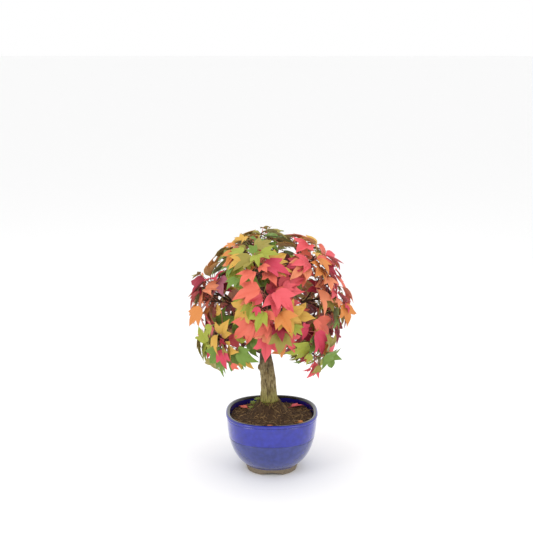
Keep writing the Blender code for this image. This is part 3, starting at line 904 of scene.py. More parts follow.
@dataclass
class Soil:
    """The soil: it falls away from a mound at the trunk, with fibres, moss and a few seedlings on it."""

    pot: Pot
    edge: float = POT_HEIGHT - 0.0085
    mound_radius: float = 0.0134
    mound_middle: tuple[float, float] = (-0.0040, 0.0160)
    # Shares of the way in from the rim, and the rise over the edge there
    rises: tuple = (
        (0.0, 0.0),
        (0.30, -0.0008),
        (0.60, 0.0004),
        (0.78, 0.0046),
        (0.92, 0.0122),
        (1.0, 0.0165),
    )
    crumb: float = 0.0008
    crumb_size: float = 0.0045
    crumb_octaves: int = 4
    crumb_share: float = 1.6
    steep_from: float = 0.62
    steep_run: float = 0.2
    streak_turns: float = 6.0
    streak_height: float = 9.0
    streak_size: float = 0.35
    outer_fade: float = 0.04
    inner_fade: float = 0.03
    sides: int = 200
    rows: int = 84
    side_share: float = 0.12
    seed: int = 51
    plumb_from: float = 0.2
    below_edge: float = 0.004
    above_edge: float = 0.004
    straws: int = 620
    rootlets: int = 900
    fibre_spread: float = 0.050
    fibre_upright: float = 0.7
    fibre_length: tuple = (0.0025, 0.0085)
    fibre_lift: float = 0.0003
    fibre_lift_more: float = 0.0005
    fibre_bend: float = 0.18
    fibre_radius: tuple = (0.00010, 0.00026)
    tufts: int = 26
    tuft_reach: tuple = (0.0105, 0.0150)
    tuft_spread: float = 0.0012
    moss_stems: int = 26
    moss_height: tuple = (0.0007, 0.0017)
    moss_lean: float = 0.5
    moss_root: float = 0.0003
    moss_bend: float = 0.6
    moss_radii: tuple = (0.00028, 0.00022, 0.00005)
    weed_places: tuple = (
        (-0.0240, 0.0180),
        (-0.0200, 0.0250),
        (-0.0290, 0.0120),
        (-0.0180, 0.0110),
        (-0.0250, 0.0300),
    )
    weed_lean: float = 0.002
    weed_height: tuple = (0.004, 0.008)
    weed_bend: float = 0.6
    weed_radii: tuple = (0.0003, 0.00025, 0.0002, 0.0002)
    weed_leaves: int = 4
    weed_leaf_turn: float = 0.3
    weed_leaf_rise: float = 0.35
    weed_leaf_stops: tuple = (0.0012, 0.0026, 0.0036)
    weed_leaf_radii: tuple = (0.0002, 0.0009, 0.0008, 0.0001)

    def rise(self, share: float) -> float:
        """Gives the height over the edge at a share of the way from the rim to the mound.

        Args:
            share: the share of the way in.

        Returns:
            The height over the edge.
        """
        for (low, low_rise), (high, high_rise) in zip(self.rises, self.rises[1:]):
            if share <= high:
                return low_rise + (high_rise - low_rise) * (share - low) / (high - low)
        return self.rises[-1][1]

    def point(self, u: float, v: float) -> Vector:
        """Gives a point of the soil: first up its side, then in over its top to the trunk.

        Args:
            u: the share of the turn.
            v: the share of the way up the side and in.

        Returns:
            The point.
        """
        if v < self.side_share:
            height = self.pot.floor_top + CLEARANCE + (self.edge - self.pot.floor_top) * v / self.side_share
            height = min(height, self.edge)
            half = self.pot.belly_half(height) - self.pot.wall - 2 * CLEARANCE
            return self.pot.ring_point(half, height, u)
        share = (v - self.side_share) / (1 - self.side_share)
        half = self.pot.belly_half(self.edge) - self.pot.wall - 2 * CLEARANCE
        outer = self.pot.ring_point(half, self.edge, u)
        away = Vector((outer.x, outer.y, 0)).normalized()
        inner = Vector((*self.mound_middle, 0)) + self.mound_radius * away
        made = outer.lerp(inner, share)
        made.z = self.edge + self.rise(share)
        around = self.streak_turns * level_way(math.tau * u)
        steep = ramp(share - self.steep_from, self.steep_run)
        streak = bumpy(Vector((around.x, around.y, self.streak_height * made.z)), self.streak_size)
        lumps = bumpy(made, self.crumb_size, self.crumb_octaves)
        fade = min(1.0, share / self.outer_fade) * min(1.0, (1 - share) / self.inner_fade)
        made.z += fade * self.crumb * ((1 - steep / 2) * self.crumb_share * lumps + steep * streak)
        return made

    def scatter(self, rng: random.Random, ground: BVHTree, spread: float) -> tuple[Vector, Vector]:
        """Picks a place on the top of the soil.

        Args:
            rng: the random draws.
            ground: the soil's search tree.
            spread: how far from the pot's middle it may lie, along X and along Y.

        Returns:
            The place and the ground's normal there.
        """
        while True:
            x, y = rng.uniform(-spread, spread), rng.uniform(-spread, spread)
            hit, normal = self.below(ground, x, y)
            if hit is not None and hit.z > self.edge - self.below_edge:
                return hit, normal

    def below(self, ground: BVHTree, x: float, y: float) -> tuple[Vector | None, Vector | None]:
        """Gives the place on the soil straight below a point, and the ground's normal there."""
        return ground.ray_cast(Vector((x, y, self.plumb_from)), DOWN)[:2]

    def fibres(self, name: str, count: int, finish: Grained, ground: BVHTree, rng: random.Random) -> None:
        """Strews fibres of one colour over the soil, most of those on the mound pointing down its side.

        Args:
            name: the piece's name.
            count: how many fibres there are.
            finish: their finish.
            ground: the soil's search tree.
            rng: the random draws.
        """
        heap = Heap(name)
        for _ in range(count):
            hit, normal = self.scatter(rng, ground, self.fibre_spread)
            flat = level_way(rng.uniform(0, math.tau))
            if hit.z > self.edge + self.above_edge and rng.random() < self.fibre_upright:
                flat = Vector((hit.x - self.mound_middle[0], hit.y - self.mound_middle[1], 0)).normalized()
            flat = (flat - flat.project(normal)).normalized()
            length = rng.uniform(*self.fibre_length)
            lift = self.fibre_lift + rng.uniform(0, self.fibre_lift_more)
            start = hit + lift * normal - length / 2 * flat
            end = hit + lift * normal + length / 2 * flat
            bend = hit + (lift + self.fibre_bend * length * rng.random()) * normal
            radius = rng.uniform(*self.fibre_radius)
            line = arc(start, bend, end, steps=3)
            heap.add(*tube(line, [radius, radius, radius, radius / 2], sides=3))
        add_piece(name, heap.mesh(), [finish.material()], "soil")

    def moss(self, ground: BVHTree, rng: random.Random) -> None:
        """Plants short moss on the mound and round the trunk's foot, in tufts.

        Args:
            ground: the soil's search tree.
            rng: the random draws.
        """
        heap = Heap("moss_at_the_foot")
        middle = Vector((*self.mound_middle, 0))
        for _ in range(self.tufts):
            turn = rng.uniform(0, math.tau)
            tuft = middle + rng.uniform(*self.tuft_reach) * level_way(turn)
            for _ in range(self.moss_stems):
                x = tuft.x + rng.gauss(0, self.tuft_spread)
                y = tuft.y + rng.gauss(0, self.tuft_spread)
                hit, normal = self.below(ground, x, y)
                if hit is None:
                    continue
                height = rng.uniform(*self.moss_height)
                tip = hit + height * (normal + self.moss_lean * random_arrow(rng)).normalized()
                root = hit - self.moss_root * normal
                heap.add(*tube([root, root.lerp(tip, self.moss_bend), tip], self.moss_radii, sides=3))
        add_piece("moss_at_the_foot", heap.mesh(), [MOSS.material()], "soil")

    def weeds(self, ground: BVHTree, rng: random.Random) -> None:
        """Grows a few small seedlings at the left of the mound.

        Args:
            ground: the soil's search tree.
            rng: the random draws.
        """
        heap = Heap("seedlings")
        lean = self.weed_lean
        for x, y in self.weed_places:
            hit, _ = self.below(ground, x, y)
            shift = (rng.uniform(-lean, lean), rng.uniform(-lean, lean), rng.uniform(*self.weed_height))
            top = hit + Vector(shift)
            line = arc(hit, hit.lerp(top, self.weed_bend), top, steps=3)
            heap.add(*tube(line, self.weed_radii, sides=4))
            for step in range(self.weed_leaves):
                twist = rng.uniform(-self.weed_leaf_turn, self.weed_leaf_turn)
                out = level_way(math.tau * step / self.weed_leaves + twist)
                out.z = self.weed_leaf_rise
                blade = [top] + [top + stop * out for stop in self.weed_leaf_stops]
                heap.add(*tube(blade, self.weed_leaf_radii, sides=4))
        add_piece("seedlings", heap.mesh(), [SEEDLING_GREEN.material()], "soil")

    def build(self) -> BVHTree:
        """Builds the soil and what lies on it.

        Returns:
            The search tree of the soil's surface.
        """
        mesh = mesh_of("fibrous_soil", wrapped(self.sides, self.rows, self.point))
        add_piece("fibrous_soil", mesh, [MOIST_SOIL.material()], "soil", "soil")
        ground = tree_of(mesh)
        rng = random.Random(self.seed)
        self.fibres("straw_on_soil", self.straws, DRY_STRAW, ground, rng)
        self.fibres("rootlets_on_soil", self.rootlets, DARK_ROOTLETS, ground, rng)
        self.moss(ground, rng)
        self.weeds(ground, rng)
        return ground


# Trunk and boughs


def tree_of(mesh: bpy.types.Mesh) -> BVHTree:
    """Gives the search tree of a mesh, for touch tests.

    Args:
        mesh: the mesh.

    Returns:
        The search tree of its triangles.
    """
    mesh.calc_loop_triangles()
    points = [vertex.co for vertex in mesh.vertices]
    return BVHTree.FromPolygons(points, [tuple(triple.vertices) for triple in mesh.loop_triangles])


@dataclass
class Trunk:
    """The trunk: a leaning taper with a root flare, an old pruning scar and cracked bark."""

    # Each stop is x, y, height and diameter
    course: tuple = (
        (-0.0040, 0.0160, POT_HEIGHT + 0.0080 + CLEARANCE, 0.0212),
        (-0.0042, 0.0150, 0.1080, 0.0198),
        (-0.0066, 0.0138, 0.1330, 0.0180),
        (-0.0082, 0.0120, 0.1530, 0.0142),
        (-0.0068, 0.0095, 0.1860, 0.0122),
        (-0.0062, 0.0080, 0.2160, 0.0104),
        (-0.0088, 0.0060, 0.2480, 0.0084),
    )
    flare_height: float = 0.0060
    flare_share: float = 0.13
    flare_lobes: int = 5
    flare_wave: float = 0.6
    flare_turn: float = 0.7
    scar_height: float = 0.1315
    scar_bulge: float = 0.0022
    scar_spread: float = 0.0042
    scar_rim: float = 0.0009
    scar_rim_width: float = 0.0009
    scar_radius: float = 0.0026
    scar_hollow: float = 0.9
    scar_hollow_width: float = 0.0016
    relief_radius: float = 0.010
    crack_depth: float = 0.00055
    crack_size: float = 0.0021
    crack_stretch: float = 7.0
    crack_middle: float = 0.35
    crack_share: float = 1.5
    lump_size: float = 0.0075
    lump_height: float = 0.0005
    sink: float = 0.0035
    fork_overlap: float = 0.004
    sides: int = 120
    rows: int = 250

    def at(self, height: float) -> tuple[Vector, float]:
        """Gives the axis point and the diameter at a height, on a smooth curve through the course.

        Args:
            height: the height over the ground.

        Returns:
            The axis point and the diameter.
        """
        course = [Vector(stop) for stop in self.course]
        for index in range(len(course) - 1):
            low, high = course[index], course[index + 1]
            if height <= high.z or index == len(course) - 2:
                break
        before = course[max(index - 1, 0)]
        after = course[min(index + 2, len(course) - 1)]
        share = (height - low.z) / (high.z - low.z)
        start_slope = (high - before) * (high.z - low.z) / (high.z - before.z)
        end_slope = (after - low) * (high.z - low.z) / (after.z - low.z)
        square, cube = share**2, share**3
        made = (2 * cube - 3 * square + 1) * low + (cube - 2 * square + share) * start_slope
        made += (3 * square - 2 * cube) * high + (cube - square) * end_slope
        return Vector((made.x, made.y, height)), made.w

    def radius(self, angle: float, height: float, diameter: float) -> float:
        """Gives the radius with flare, scar and bark relief.

        Args:
            angle: the angle round the trunk.
            height: the height over the ground.
            diameter: the plain diameter there.

        Returns:
            The radius.
        """
        foot = self.course[0][2]
        lobes = 1 + self.flare_wave * math.cos(self.flare_lobes * angle + self.flare_turn)
        flare = math.exp(-max(height - foot, 0) / self.flare_height)
        made = diameter / 2 * (1 + self.flare_share * flare * lobes)
        away = (height - self.scar_height) / self.scar_spread
        made += self.scar_bulge * math.exp(-away * away) * max(math.cos(angle - math.pi), 0.0) ** 3
        around = (angle % math.tau - math.pi) * made
        distance = math.hypot(around, height - self.scar_height)
        rim = math.exp(-(((distance - self.scar_radius) / self.scar_rim_width) ** 2))
        hollow = math.exp(-((distance / self.scar_hollow_width) ** 2))
        made += self.scar_rim * (rim - self.scar_hollow * hollow)
        across = level_way(angle) * self.relief_radius
        ribs = bumpy(Vector((across.x, across.y, height / self.crack_stretch)), self.crack_size)
        lumps = bumpy(Vector((across.x, across.y, height)), self.lump_size, octaves=2)
        thinner = diameter / self.course[0][3]
        cracks = self.crack_depth * (self.crack_middle - abs(ribs)) * self.crack_share
        return made + thinner * (cracks + self.lump_height * lumps)

    def build(self, bark: bpy.types.Material) -> None:
        """Builds the trunk, sunk a little into the soil, up to the fork.

        Args:
            bark: its finish.
        """
        foot, fork = self.course[0][2], self.course[-1][2]

        def point(u: float, v: float) -> Vector:
            """Gives a point of the bark.

            Args:
                u: the share of the turn round the trunk.
                v: the share of the way up it.

            Returns:
                The point.
            """
            height = foot - self.sink + (fork + self.fork_overlap - foot + self.sink) * v
            axis, diameter = self.at(min(max(height, foot), fork))
            axis.z = height
            angle = math.tau * u
            return axis + self.radius(angle, height, diameter) * level_way(angle)

        mesh = mesh_of("bark_of_trunk", wrapped(self.sides, self.rows, point))
        add_piece("bark_of_trunk", mesh, [bark], "bark", "trunk")


@dataclass
class Mass:
    """One mass of foliage: its middle, where its bough ends and points, and the size of its twigs."""

    name: str
    centre: Vector
    tip: Vector
    heading: Vector
    size: float
    shoots: list = field(default_factory=list)
    leaves: list = field(default_factory=list)
    sprigs: list = field(default_factory=list)


@dataclass(frozen=True)
class Tier:
    """One storey of the tree: its boughs, evenly turned round the trunk.

    The first bough's turn is in degrees. Reach and height place the masses, root and root step the boughs'
    starts on the trunk. The size is that of the twigs.
    """

    name: str
    count: int
    turn: float
    reach: float
    height: float
    root: float
    root_step: float
    thickness: float
    size: float


@dataclass
class Boughs:
    """The boughs of three storeys and the leader above the fork."""

    trunk: Trunk
    tiers: tuple = (
        Tier("low", 4, 222.0, 0.067, 0.180, 0.1510, 0.0085, 0.0058, 1.0),
        Tier("middle", 4, 178.0, 0.067, 0.225, 0.1900, 0.0080, 0.0050, 1.0),
        Tier("high", 3, 235.0, 0.047, 0.268, 0.2260, 0.0070, 0.0043, 0.87),
    )
    top_centre: tuple = (-0.014, 0.002, 0.293)
    top_size: float = 0.80
    tip_radius: float = 0.0015
    share: float = 0.46
    tip_rise: float = 0.004
    bend: float = 0.50
    lift: float = 0.30
    taper: float = 0.8
    leader_share: float = 0.5
    leader_lift: float = 0.55
    leader_thickness: float = 0.86
    course_points: int = 6
    collar: float = 0.55
    collar_reach: float = 0.10
    wave: float = 0.0007
    wave_size: float = 0.012
    wave_apart: tuple[float, float, float] = (3.0, 0.0, 0.0)
    look_along: float = 0.01
    rib_height: float = 0.00022
    rib_size: float = 4.0
    rib_turns: float = 6.0
    rib_stretch: float = 60.0
    knot_height: float = 0.00025
    knots: float = 3.5
    knot_sharpness: int = 12
    rows: int = 60
    sides: int = 26

    def course(self, root: Vector, tip: Vector, lift: float) -> list[Vector]:
        """Gives a bough's points, from the trunk's axis out and up in one arc to its tip.

        Args:
            root: where it starts on the trunk's axis.
            tip: where it ends.
            lift: the share of its rise that it has made at its bend.

        Returns:
            Its points.
        """
        reach = tip - root
        bend = root + Vector((self.bend * reach.x, self.bend * reach.y, lift * reach.z))
        points = []
        for step in range(self.course_points):
            share = step / (self.course_points - 1)
            points.append((1 - share) ** 2 * root + 2 * share * (1 - share) * bend + share**2 * tip)
        return points

    def limb(
        self, name: str, points: Sequence[Vector], thickness: float, bark: bpy.types.Material, node: str
    ) -> None:
        """Builds one limb with a collar at its root, small waves along it and ribbed bark.

        Args:
            name: the piece's name.
            points: the limb's course.
            thickness: its diameter at its root.
            bark: its finish.
            node: the node that it replaces.
        """
        last = len(points) - 1
        slim = 2 * self.tip_radius / thickness

        def axis(share: float) -> Vector:
            """Gives a point of the wavy axis.

            Args:
                share: the share of the limb's length.

            Returns:
                The point.
            """
            index = min(int(share * last), last - 1)
            local = share * last - index
            before, after = points[max(index - 1, 0)], points[min(index + 2, last)]
            low, high = points[index], points[index + 1]
            square, cube = local**2, local**3
            made = (2 * cube - 3 * square + 1) * low + (cube - 2 * square + local) * 0.5 * (high - before)
            made += (3 * square - 2 * cube) * high + (cube - square) * 0.5 * (after - low)
            wave = self.wave * math.sin(math.pi * share)
            apart = Vector(self.wave_apart)
            shift = (bumpy(made, self.wave_size), bumpy(made + apart, self.wave_size), 0)
            return made + wave * Vector(shift)

        start_side = (points[1] - points[0]).orthogonal().normalized()

        def point(u: float, v: float) -> Vector:
            """Gives a point of the limb's bark.

            Args:
                u: the share of the turn round the limb.
                v: the share of the way along it.

            Returns:
                The point.
            """
            middle = axis(v)
            ahead, behind = min(v + self.look_along, 1.0), max(v - self.look_along, 0.0)
            along = (axis(ahead) - axis(behind)).normalized()
            side = (start_side - start_side.project(along)).normalized()
            other = along.cross(side)
            angle = math.tau * u
            radius = thickness / 2 * (1 + (slim - 1) * v**self.taper)
            radius *= 1 + self.collar * math.exp(-v / self.collar_reach)
            around = self.rib_turns * level_way(angle)
            ribs = bumpy(Vector((around.x, around.y, self.rib_stretch * v)), self.rib_size)
            knot = max(0.0, math.cos(math.tau * self.knots * v)) ** self.knot_sharpness
            radius += self.rib_height * ribs + self.knot_height * knot
            return middle + radius * (math.cos(angle) * side + math.sin(angle) * other)

        mesh = mesh_of(name, wrapped(self.sides, self.rows, point))
        add_piece(name, mesh, [bark], "bark", node)

    def build(self, bark: bpy.types.Material) -> list[Mass]:
        """Builds the limbs.

        Args:
            bark: their finish.

        Returns:
            The masses that they carry, with no twigs yet.
        """
        masses = []
        for tier in self.tiers:
            for index in range(tier.count):
                turn = math.radians(tier.turn + 360 * index / tier.count)
                centre = tier.reach * level_way(turn) + tier.height * UP
                root, _ = self.trunk.at(tier.root + index * tier.root_step)
                tip = root.lerp(centre, self.share) + self.tip_rise * UP
                points = self.course(root, tip, self.lift)
                name = f"{tier.name}_{index + 1}"
                self.limb("bark_of_bough_" + name, points, tier.thickness, bark, "bough_" + name)
                heading = (points[-1] - points[-2]).normalized()
                masses.append(Mass("foliage_" + name, centre, tip, heading, tier.size))
        fork, diameter = self.trunk.at(self.trunk.course[-1][2])
        root = fork + CLEARANCE * UP
        top = Vector(self.top_centre)
        tip = root.lerp(top, self.leader_share)
        points = self.course(root, tip, self.leader_lift)
        points[1].x, points[1].y = root.x, root.y
        self.limb("bark_of_leader", points, self.leader_thickness * diameter, bark, "leader")
        heading = (points[-1] - points[-2]).normalized()
        masses.append(Mass("foliage_top", top, tip, heading, self.top_size))
        return masses


# Twigs and leaves


@dataclass(frozen=True)
class TreeOutline:
    """The outline of the leaves: a dome over a skirt, arched below so that the trunk stays in view."""

    half_width: float = CROWN_WIDTH / 2
    shoulder: float = 0.252
    waist: float = 0.178
    foot: float = 0.134
    narrowing: float = 0.24
    arch_rise: float = 0.040
    arch_half: float = 0.060
    middle: float = 0.205
    lift: float = 0.9

    def half(self, height: float) -> float:
        """Gives the crown's half width at a height.

        Args:
            height: the height over the ground.

        Returns:
            The half width.
        """
        if height > self.shoulder:
            return self.half_width * math.sqrt(max(TREE_TOP - height, 0) / (TREE_TOP - self.shoulder))
        drop = max(self.waist - height, 0) / (self.waist - self.foot)
        return self.half_width * (1 - self.narrowing * drop)

    def holds(self, point: Vector, margin: float = 0.0) -> bool:
        """Says whether a point is in the outline by a margin.

        Args:
            point: the point.
            margin: how far inside the outline it has to be.

        Returns:
            Whether it is.
        """
        under = self.foot + self.arch_rise * max(1 - abs(point.x) / self.arch_half, 0)
        if point.z < under + margin:
            return False
        return math.hypot(point.x, point.y) < self.half(point.z + margin) - margin

    def outward(self, point: Vector) -> Vector:
        """Gives the direction out of the crown at a point: sideways low down, and up at the top."""
        return Vector((point.x, point.y, self.lift * (point.z - self.middle))).normalized()


def random_arrow(rng: random.Random, shortest: float = 0.1) -> Vector:
    """Gives a random direction, even all round, by drawing points until one lies in the unit ball.

    Args:
        rng: the random draws.
        shortest: how near the middle a point may lie.

    Returns:
        The direction, one long.
    """
    while True:
        arrow = Vector((rng.uniform(-1, 1), rng.uniform(-1, 1), rng.uniform(-1, 1)))
        if shortest < arrow.length < 1:
            return arrow.normalized()


def turned(arrow: Vector, side: Vector, angle: float) -> Vector:
    """Leans a direction towards a side by an angle."""
    across = (side - side.project(arrow)).normalized()
    return math.cos(angle) * arrow + math.sin(angle) * across


def triangle(centre: Vector, along: Vector, side: Vector, radius: float) -> list[Vector]:
    """Gives a three-cornered ring round a point, square to a direction.

    Args:
        centre: the ring's middle.
        along: the direction that it is square to.
        side: where its first corner lies from the middle.
        radius: the distance of its corners from the middle.

    Returns:
        Its three corners.
    """
    side = (side - side.project(along)).normalized()
    other = along.normalized().cross(side)
    ring = []
    for step in range(3):
        angle = math.tau * step / 3
        ring.append(centre + radius * (math.cos(angle) * side + math.sin(angle) * other))
    return ring


def twig_room(start: Vector, end: Vector, radius: float) -> BVHTree:
    """Gives the search tree of a three-sided prism round a twig, for touch tests.

    Args:
        start: where the twig starts.
        end: where it ends.
        radius: the prism's radius.

    Returns:
        The search tree.
    """
    along = end - start
    side = along.orthogonal()
    points = triangle(start, along, side, radius) + triangle(end, along, side, radius)
    faces = [(0, 1, 2), (3, 4, 5)]
    faces += [(a, (a + 1) % 3, 3 + (a + 1) % 3, 3 + a) for a in range(3)]
    return BVHTree.FromPolygons(points, faces)


@dataclass
class Shoot:
    """One shoot: the joints of its line, and how often its parents branched."""

    points: list[Vector]
    level: int

    def legs(self) -> list[tuple[Vector, Vector, bool]]:
        """Gives the straight legs as start, end and whether it is the last.

        Returns:
            One entry for each leg, from the root on.
        """
        last = len(self.points) - 2
        pairs = zip(self.points, self.points[1:])
        return [(start, end, index == last) for index, (start, end) in enumerate(pairs)]


@dataclass
class Leaf:
    """One leaf: a stalk from its root to the blade, and a three-lobed blade along a midrib."""

    root: Vector
    stalk: Vector
    midrib: Vector
    normal: Vector
    length: float
    droop: float = 0.20
    cup: float = 0.22
    centre: float = 0.36
    half_outline: tuple = ((0.14, 0.33), (0.66, 0.53), (0.55, 0.19))

    @property
    def base(self) -> Vector:
        """The place where the stalk meets the blade."""
        return self.root + self.stalk

    def place(self, along: float, across: float, lift: float = 0.0) -> Vector:
        """Gives the point of the drooping, cupped blade at a share along and across it.

        Args:
            along: the share of the blade's length from its base.
            across: the share of its length from the midrib.
            lift: how far over the blade it is, as a share of its length.

        Returns:
            The point.
        """
        side = self.midrib.cross(self.normal)
        height = self.cup * abs(across) - self.droop * along * along + lift
        return self.base + self.length * (along * self.midrib + across * side + height * self.normal)

    def outline(self) -> list[Vector]:
        """Gives the blade's plain outline.

        Returns:
            The corners, from the base round by the right side and the tip.
        """
        right = [self.place(along, across) for along, across in self.half_outline]
        left = [self.place(along, -across) for along, across in reversed(self.half_outline)]
        return right + [self.place(1.0, 0.0)] + left

    def surfaces(self, thickness: float, stalk_radius: float, stalk_start: float) -> tuple[list, list]:
        """Gives the points and triangles of the plain closed leaf, for touch tests.

        Args:
            thickness: the blade's thickness at its middle.
            stalk_radius: the stalk's radius.
            stalk_start: how far from its root the stalk begins.

        Returns:
            The points and the faces.
        """
        side = self.midrib.cross(self.normal)
        bisector = (self.stalk.normalized() + self.midrib).normalized()
        lift = side.cross(bisector).normalized()
        if lift.dot(self.normal) < 0:
            lift = -lift
        # The stalk has three corners, about a third of a turn apart
        corners = (lift, -0.5 * lift + 0.87 * side, -0.5 * lift - 0.87 * side)
        start = self.root + self.stalk.normalized() * stalk_start
        points = [start + stalk_radius * corner for corner in corners]
        points += [self.base + stalk_radius * corner for corner in corners]
        middle = self.place(self.centre, 0.0, 0.5 * self.droop * self.centre**2)
        points += [middle + thickness / 2 * self.normal, middle - thickness / 2 * self.normal]
        # Points 0 to 5 are the stalk's, 6 and 7 the blade's middle above and below, the rest its outline
        rim = [4] + list(range(8, 8 + 2 * len(self.half_outline) + 1)) + [5]
        points += self.outline()
        faces = [(0, 2, 1)]
        faces += [(a, (a + 1) % 3, 3 + (a + 1) % 3) for a in range(3)]
        faces += [(a, 3 + (a + 1) % 3, 3 + a) for a in range(3)]
        faces += [(6, first, second) for first, second in zip(rim, rim[1:])]
        faces += [(7, second, first) for first, second in zip(rim, rim[1:])]
        faces += [(6, 5, 3), (6, 3, 4), (7, 4, 5)]
        return points, faces


@dataclass
class GrowthRule:
    """The seeded rule that branches the twigs by opposite pairs and hangs the leaves where they have room."""

    masses: list[Mass]
    limbs: list[BVHTree]
    crown: TreeOutline = field(default_factory=TreeOutline)
    seed: int = 2670
    stem_length: float = 0.016
    stem_turn: float = 0.8
    twig_lengths: tuple = (0.021, 0.016)
    twig_span: tuple = (0.85, 1.25)
    twig_radius: float = 0.00115
    twig_spread: float = math.radians(46)
    twig_pull: float = 0.35
    twig_wander: float = 0.22
    twig_roll: float = 0.4
    twig_sink: float = 0.0015
    twig_margin: float = 0.008
    twig_room: float = 0.0006
    probe_start: float = 0.003
    probe_radius: float = 0.0022
    leaf_tries: int = 24
    tip_back: float = 0.0014
    outer_node: float = 0.62
    inner_node: float = 0.80
    node_roll: float = 6.3
    leaf_span: tuple = (0.78, 1.14)
    leaf_shrink: float = 0.15
    leaf_wander: float = 0.35
    stalk_share: float = 0.46
    stalk_out: float = 0.75
    stalk_up: float = 0.35
    stalk_ease: float = 0.4
    stalk_span: tuple = (0.7, 1.45)
    stalk_bend: float = math.radians(78)
    stalk_radius: float = 0.00040
    face_up: float = 0.25
    face_ease: float = 0.35
    tip_follow: float = 0.7
    tip_fall: float = -0.85
    tip_ease: float = 0.5
    thickness: float = 0.0009
    territory_slack: float = 0.010
    leaf_room: float = 0.0006
    stalk_room: float = 0.0006
    stalk_free: float = 0.0035
    fine_tries: int = 8
    fine_length: tuple = (0.011, 0.020)
    sprig_length: tuple = (0.006, 0.012)
    sprig_nodes: tuple = (0.25, 0.5, 0.8)
    sprig_turn: float = 3.1
    sprig_aside: float = 0.9
    sprig_out: float = 0.3
    sprig_margin: float = 0.004
    young_stalk: float = 0.75
    taken: list = field(default_factory=list)

    def branch(self, mass: Mass, rng: random.Random) -> None:
        """Branches a mass's stem, and skips each twig that leaves its room or meets a limb.

        Args:
            mass: the mass.
            rng: the random draws.
        """
        start = mass.tip + CLEARANCE * mass.heading
        goal = (mass.centre - start).normalized()
        heading = (mass.heading + self.stem_turn * goal).normalized()
        stem = Shoot([start, start + mass.size * self.stem_length * heading], 0)
        mass.shoots.append(stem)
        growing = [(stem, heading, rng.uniform(0, math.pi))]
        for level, length in enumerate(self.twig_lengths, start=1):
            grown = []
            for parent, heading, roll in growing:
                joint = parent.points[-1]
                side = turned(heading.orthogonal().normalized(), heading.cross(heading.orthogonal()), roll)
                for lean in (side, -side, None):
                    arrow = heading if lean is None else turned(heading, lean, self.twig_spread)
                    pull = self.twig_pull * self.crown.outward(joint)
                    arrow = (arrow + pull + self.twig_wander * random_arrow(rng)).normalized()
                    end = joint + mass.size * length * rng.uniform(*self.twig_span) * arrow
                    if not self.crown.holds(end, self.twig_margin):
                        continue
                    probe = twig_room(joint + self.probe_start * arrow, end, self.probe_radius)
                    if any(probe.overlap(other) for other in self.limbs):
                        continue
                    if any(owner is not mass and probe.overlap(other) for owner, other in self.taken):
                        continue
                    if lean is None:
                        parent.points.append(end)
                        shoot = parent
                    else:
                        shoot = Shoot([joint - self.twig_sink * heading, end], level)
                        mass.shoots.append(shoot)
                    wander = rng.uniform(-self.twig_roll, self.twig_roll)
                    grown.append((shoot, arrow, roll + math.pi / 2 + wander))
            growing = grown
        for shoot in mass.shoots:
            for start, end, _ in shoot.legs():
                self.taken.append((mass, twig_room(start, end, self.twig_radius + self.twig_room)))

    def propose(self, node: Vector, side: Vector, rng: random.Random, ease: float) -> Leaf:
        """Gives one way that a leaf could hang from a node: facing out and up, tip down, and freer by ease.

        Args:
            node: where the stalk starts.
            side: the side of the twig that it leaves from.
            rng: the random draws.
            ease: how free the leaf is to turn, from 0 to 1.

        Returns:
            The leaf.
        """
        out = self.crown.outward(node)
        length = LEAF_LENGTH * rng.uniform(*self.leaf_span) * (1 - self.leaf_shrink * ease)
        stalk_way = side + self.stalk_out * out + Vector((0, 0, self.stalk_up))
        stalk_way = (stalk_way + (self.leaf_wander + self.stalk_ease * ease) * random_arrow(rng)).normalized()
        normal = out + Vector((0, 0, self.face_up))
        normal = (normal + (self.leaf_wander + self.face_ease * ease) * random_arrow(rng)).normalized()
        droop = self.tip_follow * stalk_way + Vector((0, 0, self.tip_fall))
        droop += (self.leaf_wander + self.tip_ease * ease) * random_arrow(rng)
        midrib = (droop - droop.project(normal)).normalized()
        shortest, longest = self.stalk_span
        reach = rng.uniform(shortest, longest + self.stalk_ease * ease)
        return Leaf(node, self.stalk_share * length * reach * stalk_way, midrib, normal, length)

    def fits(self, leaf: Leaf, mass: Mass) -> BVHTree | None:
        """Gives a leaf's search tree if it stays in the crown and in its mass's space, clear of all there.

        Args:
            leaf: the leaf.
            mass: the mass that it belongs to.

        Returns:
            The leaf's search tree, or None where it doesn't fit.
        """
        if leaf.stalk.angle(leaf.midrib) > self.stalk_bend:
            return None
        if not all(self.crown.holds(point) for point in leaf.outline()):
            return None
        middle = leaf.place(leaf.centre, 0.0)
        own = (middle - mass.centre).length - self.territory_slack
        if any((middle - other.centre).length < own for other in self.masses):
            return None
        points, faces = leaf.surfaces(
            self.thickness + 2 * self.leaf_room, self.stalk_radius + self.stalk_room, self.stalk_free
        )
        probe = BVHTree.FromPolygons(points, faces)
        if any(probe.overlap(other) for other in self.limbs):
            return None
        if any(probe.overlap(other) for _, other in self.taken):
            return None
        return probe

    def nodes(self, mass: Mass) -> tuple[list, list, list]:
        """Gives where leaf pairs hang: at the tips, along the outer legs and at the joints.

        Args:
            mass: the mass.

        Returns:
            For each of the three kinds, the nodes as place, direction and the shoot's number.
        """
        tips, outer, inner = [], [], []
        for number, shoot in enumerate(mass.shoots):
            for index, (start, end, last) in enumerate(shoot.legs()):
                along = (end - start).normalized()
                if last and (shoot.level or index):
                    tips.append((end - self.tip_back * along, along, number))
                    outer.append((start.lerp(end, self.outer_node), along, number))
                elif not last and (shoot.level or index):
                    inner.append((start.lerp(end, self.inner_node), along, number))
        return tips, outer, inner

